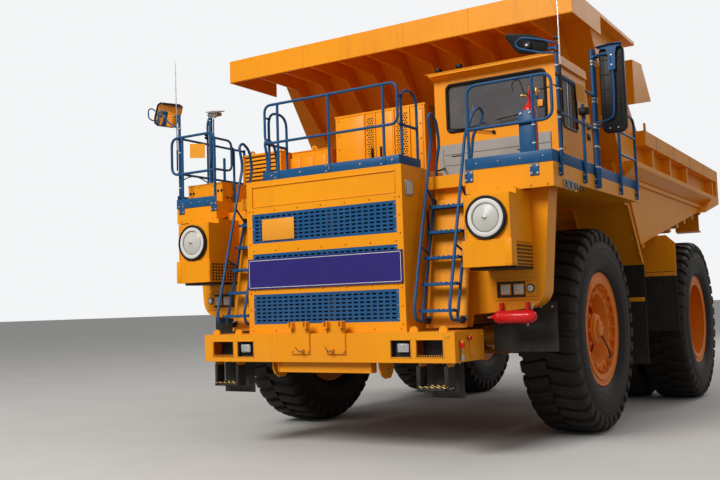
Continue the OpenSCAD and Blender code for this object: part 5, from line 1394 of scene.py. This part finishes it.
class TRUCK_OT_rails(bpy.types.Operator):
    """Railings: bent tubes, toe boards, bolted feet, clamps, cables, aerials and blank signs"""

    bl_idname = "truck.rails"
    bl_label = "Railings"

    def execute(self, context):
        part = Part("railing_set", "chassis", "blue", "zinc", "plastic", "sign", "white", "rod")
        bolts = []
        # Centre railing
        part.pipe([(-0.84, 0.16, 3.77), (-0.84, 0.16, 4.25), (1.07, 0.16, 4.25), (1.07, 0.16, 3.77)],
                  bend=0.1, cyclic=True)
        for x in (-0.64, 0.12, 0.88):
            part.pipe([(x, 0.16, 3.298), (x, 0.16, 4.25)])
            part.box(x - 0.032, x + 0.032, 0.116, 0.126, 3.302, 3.404, "blue")
            part.box(x - 0.015, x + 0.015, 0.132, 0.15, 3.34, 3.37, "blue")
            bolts += part.row((x - 0.02, 0.1155, 3.32), (x - 0.02, 0.1155, 3.385), 2, 0.018)
        for x in (-0.84, 1.07):
            part.pipe([(x, 0.24, 3.298), (x, 0.24, 4.19), (x, 0.61, 4.19), (x, 0.61, 3.298)], bend=0.17)
            part.pipe([(x, 0.24, 3.77), (x, 0.61, 3.77)])
            for z in (3.77, 4.1):
                part.pipe([(x, 0.16, z), (x, 0.24, z)], 0.012)
                part.ring((x, 0.24, z), 0.0175, 0.023, 0.01, "plastic", (0, 0, 1), 16)
        part.box(-0.86, 1.09, 0.125, 0.133, 3.298, 3.408, "blue", 0.002)
        for x in (-0.86, 1.082):
            part.box(x, x + 0.008, 0.133, 0.64, 3.298, 3.408, "blue", 0.002)
        bolts += part.row((-0.72, 0.1245, 3.352), (1.0, 0.1245, 3.352), 5, 0.02)
        # Loops at the deck's front, with their bolted plates and toe boards
        for s, x0, x1, xp, z0, z1, toe in ((1, 1.74, 2.74, 2.52, 3.666, 4.165, 1.7),
                (-1, 2.05, 2.84, 2.64, 3.632, 4.15, 2.01)):
            part.side = s
            part.pipe([(x0, 0.585, 3.2), (x0, 0.585, z1), (x1, 0.585, z1), (x1, 0.585, z0), (x0, 0.585, z0)],
                      0.0185, bend=0.12)
            part.pipe([(xp, 0.585, 3.09), (xp, 0.585, z1)], 0.0175)
            part.pipe([(x0, 0.585, 3.09), (x0, 0.585, 3.25)], 0.0185)
            for x in (x0, xp):
                part.box(x - 0.052, x + 0.052, 0.551, 0.5605, 3.06, 3.19 if s > 0 else 3.15, "blue")
                part.box(x - 0.014, x + 0.014, 0.556, 0.585, 3.095, 3.18, "blue")
                for dx in (-0.036, 0.036):
                    bolts += part.row((x + dx, 0.5505, 3.085), (x + dx, 0.5505, 3.165), 2, 0.024)
            drop = 0.0 if s > 0 else 0.06
            part.box(toe, 2.73, 0.5515, 0.5595, 3.2 - drop, 3.33 - drop, "blue", 0.002)
            part.box(2.722, 2.73, 0.568, 4.05, 3.2, 3.33, "blue", 0.002)
            bolts += part.row((toe + 0.14, 0.551, 3.265 - drop), (2.62, 0.551, 3.265 - drop), 4, 0.014)
        part.side = 1
        # Posts and masts on the deck's sides
        def foot(y, z):
            part.box(2.728, 2.738, y - 0.05, y + 0.05, z, z + 0.12, "blue")
            for dy in (-0.036, 0.036):
                bolts.extend(part.row((2.7385, y + dy, z + 0.022), (2.7385, y + dy, z + 0.098), 2, 0.022,
                                      (part.side, 0, 0)))

        def post(y, z0, z1, r=0.02):
            x = 2.73 + r
            part.pipe([(x, y, z0), (x, y, z1)], r)
            part.turned([(r + 0.001, -0.004), (0.0, 0.006)], (x, y, z1), (0, 0, 1), "plastic", 16)
            foot(y, z0)
            part.box(2.735, 2.752, y - 0.022, y + 0.022, z0 + 0.02, z0 + 0.09, "blue")

        for s in part.sides():
            if s > 0:
                y0, bars = 0.77, (3.76, 4.18)
                post(2.035, 3.05, 4.75, 0.026)
                post(2.105, 3.05, 4.75, 0.026)
            else:
                y0, bars = 0.65, (3.65, 4.155)
                post(2.07, 3.06, 4.18)
            post(y0, 3.06, 4.5)
            post(1.6, 3.06, 3.995)
            for z in bars:
                part.pipe([(2.75, y0, z), (2.75, 2.07, z)], 0.0165)
                part.box(2.733, 2.772, y0 - 0.026, y0 + 0.026, z - 0.024, z + 0.024, "plastic", 0.005)
            foot(3.08, 3.06)
            foot(3.843, 3.06)
            part.pipe([(2.75, 3.08, 3.06), (2.75, 3.08, 3.9), (2.75, 3.0, 4.0), (2.75, 2.9, 4.02)], 0.019,
                      bend=0.1)
            part.pipe([(2.75, 3.843, 3.06), (2.75, 3.843, 4.17), (2.75, 3.55, 4.19)], 0.019, bend=0.16)
            for z in (3.6, 3.9):
                part.pipe([(2.75, 3.08, z), (2.75, 3.843, z)], 0.0165)
        # Right side: second loop, corner post and the lamp mast
        part.pipe([(-2.05, 0.585, 4.07), (-2.05, 0.94, 4.07), (-2.05, 0.94, 3.65), (-2.05, 0.585, 3.64)],
                  0.0165, bend=0.1)
        part.pipe([(-2.05, 0.99, 3.2), (-2.05, 0.99, 3.96), (-2.05, 0.93, 3.99)], 0.017, bend=0.05)
        part.pipe([(-2.39, 0.9, 3.481), (-2.39, 0.9, 4.52)], 0.0275)
        part.pipe([(-2.45, 0.9, 3.481), (-2.45, 0.9, 4.36), (-2.42, 0.9, 4.44)], 0.015, bend=0.06)
        part.box(-2.48, -2.34, 0.86, 0.94, 3.48, 3.505, "blue", 0.004)
        for z in (4.16, 4.2):
            part.box(-2.475, -2.44, 0.862, 0.9, z - 0.016, z + 0.016, "plastic", 0.004)
        for z in (3.8, 4.65):
            part.pipe([(2.75, 2.064, z), (2.85, 2.064, z)], 0.016)
            part.box(2.735, 2.79, 2.01, 2.13, z - 0.014, z + 0.014, "blue")
        part.pipe([(2.75, 0.77, 4.48), (2.66, 0.77, 4.48)], 0.014)
        part.pipe([(-2.75, 0.65, 4.48), (-2.84, 0.65, 4.48)], 0.014)
        part.dots(bolts, bolt_shape(), "zinc")
        # Clamp bands
        for z in (3.3, 3.55, 3.78, 3.82, 4.1, 4.14, 4.56, 4.6):
            bands(part, [(2.756, 2.035, z), (2.756, 2.105, z)], 0.026, "zinc", 0.02)
        bands(part, [(2.75, 0.77, z) for z in (3.35, 3.7, 4.02, 4.28)], 0.02, "white")
        bands(part, [(-2.75, 0.65, z) for z in (3.45, 3.95, 4.3)], 0.02, "white")
        bands(part, [(2.52, 0.585, z) for z in (3.42, 3.62)], 0.0175, "white")
        bands(part, [(-2.39, 0.9, z) for z in (4.4, 4.46)], 0.0275, "zinc")
        for z in (4.445, 4.59):
            part.box(2.728, 2.774, 0.75, 0.79, z - 0.02, z + 0.02, "plastic", 0.005)
        # Aerials
        part.rod((2.792, 0.76, 4.02), (2.79, 0.76, 4.28), 0.011, "plastic")
        part.rod((2.79, 0.76, 4.27), (2.792, 0.755, 5.455), 0.0085, "rod", 8, 0.005)
        part.rod((-2.79, 0.64, 3.7), (-2.79, 0.64, 4.0), 0.011, "plastic")
        part.rod((-2.79, 0.64, 3.99), (-2.8, 0.64, 5.27), 0.0085, "rod", 8, 0.005)
        # Small blank signs on the right front and left side railings
        part.plate([(-2.478, 0.56, 3.835), (-2.205, 0.56, 3.805), (-2.2, 0.56, 4.0), (-2.473, 0.56, 4.035)],
                   0.004, "sign")
        part.plate([(2.772, 1.355, 3.99), (2.772, 1.665, 4.012), (2.772, 1.668, 4.212),
                    (2.772, 1.315, 4.198)], 0.004, "sign")
        # Cables tied along the rails
        part.tube([(2.765, 0.79, 3.28), (2.768, 0.795, 3.7), (2.766, 0.79, 4.1), (2.752, 0.79, 4.42)], 0.006,
                  "plastic")
        part.tube([(2.5, 0.6, 3.24), (2.505, 0.605, 3.6), (2.5, 0.605, 3.92), (2.42, 0.6, 4.0),
                   (2.36, 0.59, 4.14), (2.3, 0.59, 4.12), (2.3, 0.585, 4.02)], 0.006, "plastic")
        part.tube([(-2.36, 0.93, 3.5), (-2.355, 0.935, 4.0), (-2.36, 0.93, 4.25), (-2.33, 0.9, 4.42)], 0.008,
                  "plastic")
        part.tube([(-2.74, 0.66, 3.55), (-2.6, 0.7, 3.6), (-2.45, 0.72, 3.57), (-2.35, 0.8, 3.49)], 0.008,
                  "plastic")
        part.tube([(0.7, 0.7, 3.34), (0.74, 0.9, 3.33), (0.82, 1.2, 3.34), (0.9, 1.5, 3.4),
                   (0.86, 1.74, 3.46)], 0.012, "plastic")
        part.done(36, ("railings",))
        return {"FINISHED"}


class TRUCK_OT_deck(bpy.types.Operator):
    """Louvres, lids, handles, holes and hoses of the boxes on the deck"""

    bl_idname = "truck.deck_details"
    bl_label = "Deck boxes"

    def execute(self, context):
        part = Part("deck_trim", "chassis", "paint", "plastic", "zinc", "casting")
        bolts = []
        # Front box on the right deck: pairs of round holes, lid and hinges
        # The round holes are black discs: painted shade of the holes
        for x in (-2.66, -2.6, -2.15, -2.09):
            part.rod((x, 0.7585, 3.365), (x, 0.764, 3.365), 0.02, "plastic", 20)
        part.box(-2.705, -2.065, 0.755, 1.255, 3.466, 3.484, "paint", 0.004)
        for x in (-2.52, -2.24):
            part.box(x - 0.03, x + 0.03, 0.752, 0.762, 3.44, 3.475, "paint")
        part.ring((-2.066, 1.0, 3.36), 0.018, 0.03, 0.006, "paint", (1, 0, 0))
        for y in (0.85, 0.93):
            part.rod((-2.066, y, 3.27), (-2.045, y, 3.27), 0.012, "plastic")
        # Louvred box
        n = 11
        for i in range(n):
            z = 3.3 + i * 0.057
            part.plate([(-2.26, 1.482, z), (-1.64, 1.482, z), (-1.64, 1.499, z + 0.04),
                        (-2.26, 1.499, z + 0.04)], 0.004, "paint")
            # Black strip in the gap above each louvre: painted shade
            part.box(-2.26, -1.64, 1.4975, 1.5005, z + 0.038, z + 0.056, "plastic", 0.0)
        for x in (-2.285, -1.615):
            part.box(x - 0.015, x + 0.015, 1.484, 1.502, 3.24, 3.95, "paint")
        part.box(-2.3, -1.6, 1.484, 1.502, 3.93, 3.965, "paint")
        for x in (-2.22, -1.66):
            part.ring((x, 1.62, 3.995), 0.02, 0.045, 0.01, "paint")
            part.box(x - 0.03, x + 0.03, 1.61, 1.63, 3.955, 3.985, "paint")
        # Low box with lids and lifting eyes
        for x in (-1.5, -1.28, -1.06):
            part.box(x - 0.09, x + 0.09, 1.69, 1.702, 3.3, 3.86, "paint", 0.004)
            part.rod((x + 0.06, 1.683, 3.58), (x + 0.06, 1.695, 3.58), 0.015, "zinc")
        part.ring((-1.23, 1.8, 3.975), 0.02, 0.05, 0.012, "paint")
        part.box(-1.57, -0.89, 1.69, 2.61, 3.935, 3.95, "paint", 0.004)
        part.tube([(-0.86, 1.8, 3.3), (-0.74, 1.6, 3.42), (-0.55, 1.45, 3.44), (-0.4, 1.4, 3.46)], 0.03,
                  "plastic")
        part.tube([(-0.05, 1.3, 3.4), (0.1, 1.2, 3.38), (0.3, 1.25, 3.33), (0.45, 1.5, 3.33)], 0.024,
                  "plastic")
        part.turned([(0.205, 0.0), (0.212, 0.01), (0.205, 0.022), (0.06, 0.034), (0, 0.036)],
                    (-0.25, 1.4, 3.468), (0, 0, 1), "paint", 40)
        # Cabinet behind the centre railing: doors, ribs and two perforated strips
        for x0, x1 in ((-0.79, -0.36), (-0.16, 0.1), (0.38, 0.56)):
            part.box(x0, x1, 1.728, 1.741, 3.27, 4.33, "paint", 0.004)
        for x in (-0.345, -0.175, 0.12, 0.36):
            part.box(x - 0.012, x + 0.012, 1.715, 1.741, 3.25, 4.35, "paint", 0.004)
        # The holes of the strips are black dots: painted shade of the holes
        holes = []
        for x0 in (-0.3, 0.165):
            for i in range(30):
                for j in range(5):
                    holes.append((at(x0 + j * 0.034 + (i % 2) * 0.017, 1.7395, 3.34 + i * 0.032), (0, -1, 0),
                                  (1, 0, 0), 0.022))
        part.dots(holes, rivet_shape(), "plastic")
        for x in (-0.22, -0.08):
            part.box(x - 0.012, x + 0.012, 1.7, 1.73, 3.7, 3.86, "plastic", 0.005)
        for x in (-0.76, 0.53):
            bolts += part.row((x, 1.7275, 3.3), (x, 1.7275, 4.3), 6, 0.02)
        for x in (-0.7, 0.47):
            part.ring((x, 2.5, 4.405), 0.022, 0.05, 0.012, "paint")
        part.box(-0.83, 0.6, 1.735, 2.605, 4.34, 4.3695, "paint", 0.0)
        # Cover plate joints and bolts on the deck's front and side
        for s in part.sides():
            bolts += part.row((2.7305, 0.64, 3.13), (2.7305, 3.95, 3.13), 2, 0.02, (s, 0, 0))
            bolts += part.row((2.08, 0.5595, 2.96), (2.66, 0.5595, 2.96), 4, 0.018)
            for y in (1.32, 1.42, 1.52):
                part.box(2.73, 2.738, y, y + 0.03, 2.95, 3.02, "casting")
        part.dots(bolts, bolt_shape(), "paint")
        part.done()
        return {"FINISHED"}


class TRUCK_OT_fenders(bpy.types.Operator):
    """Mesh frames, seams, flap bolts and strips of the fenders"""

    bl_idname = "truck.fender_details"
    bl_label = "Fenders"

    def execute(self, context):
        part = Part("fender_trim", "chassis", "paint", "rubber", "zinc", "plastic")
        bolts, black = [], []
        for s in part.sides():
            # Cover of the cleaner's lower box: side flange with bolts
            part.box(2.295, 2.379, 0.165, 0.171, 2.1, 2.37, "paint")
            part.box(2.374, 2.38, 0.17, 0.29, 2.1, 2.37, "paint")
            bolts += part.row((2.381, 0.2, 2.125), (2.381, 0.2, 2.345), 2, 0.018, (s, 0, 0))
            part.box(1.83, 2.36, 0.3, 0.8, 2.06, 2.087, "plastic", 0.006)
            for x in (1.85, 2.34):
                part.box(x - 0.004, x + 0.004, 0.19, 0.196, 2.4, 2.86, "paint", 0.002)
            # Mesh rods over the side holes
            for j in range(6):
                z = 2.088 + 0.04 + j * 0.04
                part.rod((2.3765, 0.315, z - 0.007), (2.3765, 0.782, z - 0.007), 0.004, "paint", 6)
                # Black patches in the holes between the rods: painted shade of the holes
                for k in range(9):
                    part.box(2.3745, 2.38, 0.322 + k * 0.051, 0.35 + k * 0.051, z - 0.033, z - 0.012,
                             "plastic", 0.0)
            # Rubber sheet behind the inner grille's bars: painted shade of its openings
            part.box(1.8125, 1.817, 0.215, 0.68, 2.098, 2.345, "rubber", 0.0)
            for k in range(7):
                part.box(1.8085, 1.815, 0.215, 0.68, 2.096 + k * 0.04, 2.108 + k * 0.04, "paint", 0.0)
            for k in range(9):
                part.box(1.808, 1.815, 0.213 + k * 0.057, 0.227 + k * 0.057, 2.095, 2.348, "paint", 0.0)
            part.box(1.806, 1.817, 0.169, 0.206, 2.088, 2.373, "paint")
            bolts += part.row((1.806, 0.188, 2.105), (1.806, 0.188, 2.335), 2, 0.018, (-s, 0, 0))
            # Mud flap clamps
            black += part.row((1.8, 1.069, 1.64), (2.46, 1.069, 1.64), 6, 0.022)
            part.box(1.74, 2.51, 4.898, 4.906, 1.66, 1.71, "paint")
            part.box(1.72, 2.505, 4.868, 4.88, 1.655, 1.715, "paint")
            bolts += part.row((1.78, 4.867, 1.685), (2.46, 4.867, 1.685), 5, 0.02)
            bolts += part.row((2.5205, 4.3, 2.56), (2.5205, 4.62, 2.36), 2, 0.02, (s, 0, 0))
            part.box(1.185, 1.215, 0.796, 0.801, 1.46, 3.04, "paint", 0.002)
            # Round rear lip weld line of the fender
            part.tube([(1.62, 0.8, 1.575), (2.255, 0.8, 1.632)], 0.004, "paint", 8, False)
        part.dots(bolts, bolt_shape(), "paint")
        part.dots(black, bolt_shape(), "zinc")
        part.done()
        # Steps under the bumper: side plates, one toothed tread and the rubber flap behind
        steps = Part("step_set", "chassis", "rubber", "zinc", "paint", "brass")
        for s in steps.sides():
            bolts = []
            for x in (1.29, 1.63):
                steps.box(x - 0.008, x + 0.008, 0.05, 0.22, 0.772, 1.04, "rubber", 0.002)
                steps.box(x - 0.011, x + 0.011, 0.06, 0.21, 1.03, 1.076, "paint", 0.002)
                steps.box(x - 0.008, x - 0.034, 0.046, 0.054, 0.772, 1.05, "rubber", 0.002)
                bolts += steps.row((x + 0.008, 0.085, 0.8), (x + 0.008, 0.15, 0.8), 2, 0.018, (s, 0, 0))
                bolts += steps.row((x + 0.011, 0.085, 1.052), (x + 0.011, 0.185, 1.052), 2, 0.02, (s, 0, 0))
            steps.box(1.282, 1.638, 0.046, 0.222, 0.772, 0.78, "rubber", 0.002)
            for y in (0.046, 0.214):
                edge = [(1.282 + 0.356 * k / 40, y,
                         0.812 + 0.007 * math.cos(k * math.pi / 4)) for k in range(41)]
                steps.plate(edge + [(1.638, y, 0.774), (1.282, y, 0.774)], -0.006 * s, "rubber")
                lip = [(a, b - 0.0015, c + 0.0015) for a, b, c in edge]
                steps.tube(lip, 0.0042, "brass", 6, False)
            steps.dots(bolts, bolt_shape(), "zinc")
            steps.box(1.21, 1.7, 0.312, 0.324, 0.675, 1.11, "rubber")
            steps.box(1.21, 1.7, 0.304, 0.312, 1.04, 1.074, "rubber", 0.002)
            steps.dots(steps.row((1.25, 0.304, 1.057), (1.66, 0.304, 1.057), 5, 0.02), bolt_shape(), "zinc")
        steps.done(replaces=("bumper_steps",))
        return {"FINISHED"}


class TRUCK_OT_bottles(bpy.types.Operator):
    """Gas bottle under the fender and the fire bottle with its bracket"""

    bl_idname = "truck.bottles"
    bl_label = "Bottles"

    def execute(self, context):
        part = Part("bottle_set", "chassis", "bottle", "blue", "brass", "plastic", "zinc")
        axis = (1, 0, 0)
        profile = [(0.0, 0.0), (0.03, 0.004), (0.052, 0.018), (0.068, 0.042), (0.074, 0.075), (0.074, 0.415),
                   (0.066, 0.46), (0.046, 0.492), (0.02, 0.506), (0.0, 0.508)]
        part.turned(profile, (1.9, 0.72, 1.54), axis, "bottle", 40)
        part.rod((1.905, 0.72, 1.54), (1.865, 0.72, 1.54), 0.02, "bottle", 12)
        part.rod((1.867, 0.72, 1.54), (1.825, 0.72, 1.537), 0.01, "zinc", 10)
        for x in (1.98, 2.29):
            part.ring((x, 0.72, 1.54), 0.0745, 0.0785, 0.018, "bottle", axis, 40)
            part.box(x - 0.018, x + 0.018, 0.735, 0.8, 1.6, 1.7, "bottle")
        part.rod((2.3, 0.72, 1.475), (2.3, 0.72, 1.44), 0.01, "zinc", 8)
        part.rod((2.355, 0.72, 1.617), (2.355, 0.74, 1.7), 0.01, "zinc", 8)
        # Fire bottle
        c = (2.44, 0.7, 3.3)
        part.turned([(0.0, 0.0), (0.06, 0.0), (0.07, 0.012), (0.07, 0.5), (0.06, 0.545), (0.04, 0.575),
                     (0.024, 0.59), (0.022, 0.625), (0.0, 0.627)], c, (0, 0, 1), "bottle", 36)
        part.rod((2.44, 0.7, 3.92), (2.44, 0.7, 4.04), 0.024, "bottle", 14, 0.018)
        part.rod((2.44, 0.7, 4.03), (2.44, 0.7, 4.1), 0.015, "brass", 10)
        part.rod((2.44, 0.7, 3.975), (2.37, 0.69, 3.985), 0.01, "brass", 10)
        part.turned([(0.018, -0.014), (0.018, 0.014), (0, 0.016)], (2.365, 0.69, 3.985), (-1, 0, 0), "brass",
                    12)
        part.box(2.425, 2.5, 0.69, 0.71, 4.09, 4.105, "bottle")
        # Bracket: tall plate before the bottle with four bolts
        part.box(2.34, 2.505, 0.606, 0.614, 3.15, 3.8, "blue", 0.004)
        part.box(2.332, 2.513, 0.612, 0.622, 3.78, 3.8, "blue")
        for x in (2.34, 2.497):
            part.box(x, x + 0.008, 0.612, 0.76, 3.15, 3.8, "blue", 0.002)
        pts = part.row((2.368, 0.6055, 3.185), (2.368, 0.6055, 3.765), 2, 0.026)
        pts += part.row((2.478, 0.6055, 3.185), (2.478, 0.6055, 3.765), 2, 0.026)
        part.dots(pts, bolt_shape(), "zinc")
        # Regulator beside it
        part.rod((2.5, 0.62, 3.99), (2.6, 0.62, 3.99), 0.012, "brass", 10)
        part.turned([(0.0, -0.05), (0.02, -0.045), (0.03, -0.015), (0.03, 0.02), (0.018, 0.045), (0, 0.05)],
                    (2.56, 0.62, 3.99), (0, 0, 1), "brass", 20)
        part.turned([(0.0, -0.045), (0.018, -0.04), (0.022, 0.0), (0.0, 0.002)], (2.56, 0.62, 3.945),
                    (0, 0, 1), "blue", 16)
        part.tube([(2.585, 0.62, 4.005), (2.66, 0.66, 4.02), (2.72, 0.74, 4.06), (2.745, 0.79, 4.02)], 0.007,
                  "plastic")
        part.done(replaces=("pressure_bottles",))
        return {"FINISHED"}


class TRUCK_OT_bed(bpy.types.Operator):
    """Plate joints, weld seams, lifting eyes and flap bolts of the bed"""

    bl_idname = "truck.bed"
    bl_label = "Bed"

    def execute(self, context):
        part = Part("bed_trim", "bed", "bed", "plastic", "zinc")
        for _ in part.sides():
            # Joints of the top rail and the sloping ledge
            for y in (5.45, 6.6, 7.85, 9.05):
                part.box(2.663, 2.6665, y - 0.006, y + 0.006, 3.975, 4.186, "plastic", 0.0)
                part.box(2.5, 2.6665, y - 0.006, y + 0.006, 4.1885, 4.1915, "plastic", 0.0)
            # Weld seams along the ribs
            for d in (2.357, 3.487, 4.727, 7.007):
                y = 2.943 + d
                for side in (-0.045, 0.045):
                    part.tube([(2.502, y + side, 3.665), (2.502, y + side, 3.965)], 0.006, "bed", 6, False)
            part.tube([(2.502, 4.6, 3.667), (2.502, 10.1, 3.667)], 0.006, "bed", 6, False)
            part.tube([(2.502, 4.85, 3.966), (2.502, 10.15, 3.966)], 0.006, "bed", 6, False)
            # Lifting eyes below the canopy
            for y in (2.2, 3.05):
                part.ring((2.3, y, 5.345), 0.045, 0.085, 0.015, "bed", (0.3, 1, 0), 28)
            part.box(2.645, 2.667, 4.78, 4.86, 4.186, 4.3, "bed", 0.004)
            part.dots(part.row((1.8, 5.839, 2.07), (2.72, 5.839, 2.07), 7, 0.024), bolt_shape(), "zinc")
            part.box(1.75, 2.768, 5.834, 5.8405, 2.04, 2.1, "bed", 0.002)
        # Seams of the canopy's front board
        for x in (-1.3, 1.3):
            part.tube([(x, 1.6695, 5.145), (x, 1.6695, 5.468)], 0.004, "bed", 6, False)
        part.tube([(2.36, 1.6695, 5.468), (2.48, 1.6695, 5.145)], 0.004, "bed", 6, False)
        part.tube([(-2.66, 1.6695, 5.15), (2.66, 1.6695, 5.15)], 0.006, "bed", 6, False)
        # Welds where the headboard meets the sides, seen from above
        for _ in part.sides():
            part.tube([(2.468, 4.92, 2.6), (2.468, 2.86, 5.36)], 0.01, "bed", 6, False)
        part.done()
        return {"FINISHED"}


class TRUCK_OT_under(bpy.types.Operator):
    """Hoses, lines and bolts of the chassis and axles"""

    bl_idname = "truck.under"
    bl_label = "Underside"

    def execute(self, context):
        part = Part("hose_set", "chassis", "plastic", "zinc")
        for _ in part.sides():
            part.tube([(0.5, 1.6, 1.75), (0.52, 2.2, 1.4), (0.6, 2.75, 1.25), (0.72, 3.02, 1.22)], 0.018)
            part.tube([(0.44, 1.6, 1.8), (0.46, 2.2, 1.46), (0.66, 2.8, 1.4), (1.0, 2.9, 1.42),
                       (1.28, 2.94, 1.44)], 0.014)
            part.tube([(0.3, 3.4, 1.72), (0.32, 4.6, 1.66), (0.34, 5.8, 1.9), (0.42, 6.9, 2.02)], 0.02)
            part.tube([(0.24, 3.4, 1.74), (0.25, 4.6, 1.7), (0.26, 5.8, 1.98), (0.3, 7.0, 2.06)], 0.016)
            part.tube([(1.117, 0.6, 1.6), (1.13, 0.7, 1.8), (1.125, 0.72, 2.3), (1.12, 0.7, 2.8)], 0.012)
            for y in (3.6, 4.4, 5.2):
                part.box(0.2, 0.38, y, y + 0.03, 1.64, 1.76, "zinc")
        part.done()
        return {"FINISHED"}


CLASSES = [TruckColours, TruckSizes, TRUCK_OT_stage, TRUCK_OT_materials, TRUCK_OT_tyres, TRUCK_OT_wheels,
           TRUCK_OT_lamps, TRUCK_OT_discs, TRUCK_OT_mirrors, TRUCK_OT_cab, TRUCK_OT_front, TRUCK_OT_ladders,
           TRUCK_OT_rails, TRUCK_OT_deck, TRUCK_OT_fenders, TRUCK_OT_bottles, TRUCK_OT_bed, TRUCK_OT_under]


class TRUCK_PT_panel(bpy.types.Panel):
    """Lists the truck's sizes, colours and pieces"""

    bl_idname = "TRUCK_PT_panel"
    bl_label = "Dump Truck"
    bl_space_type = "VIEW_3D"
    bl_region_type = "UI"
    bl_category = "Dump Truck"

    def draw(self, context):
        for group in (context.scene.truck_sizes, context.scene.truck_colours):
            box = self.layout.box()
            for name in group.__annotations__:
                box.prop(group, name)
        for cls in CLASSES:
            if issubclass(cls, bpy.types.Operator):
                self.layout.operator(cls.bl_idname)


def register():
    for cls in CLASSES + [TRUCK_PT_panel]:
        bpy.utils.register_class(cls)
    bpy.types.Scene.truck_colours = bpy.props.PointerProperty(type=TruckColours)
    bpy.types.Scene.truck_sizes = bpy.props.PointerProperty(type=TruckSizes)


def unregister():
    del bpy.types.Scene.truck_sizes
    del bpy.types.Scene.truck_colours
    for cls in reversed(CLASSES + [TRUCK_PT_panel]):
        bpy.utils.unregister_class(cls)


def main():
    register()
    for cls in CLASSES:
        if issubclass(cls, bpy.types.Operator):
            area, name = cls.bl_idname.split(".")
            getattr(getattr(bpy.ops, area), name)()
    bpy.context.view_layer.update()


if __name__ == "__main__":
    main()
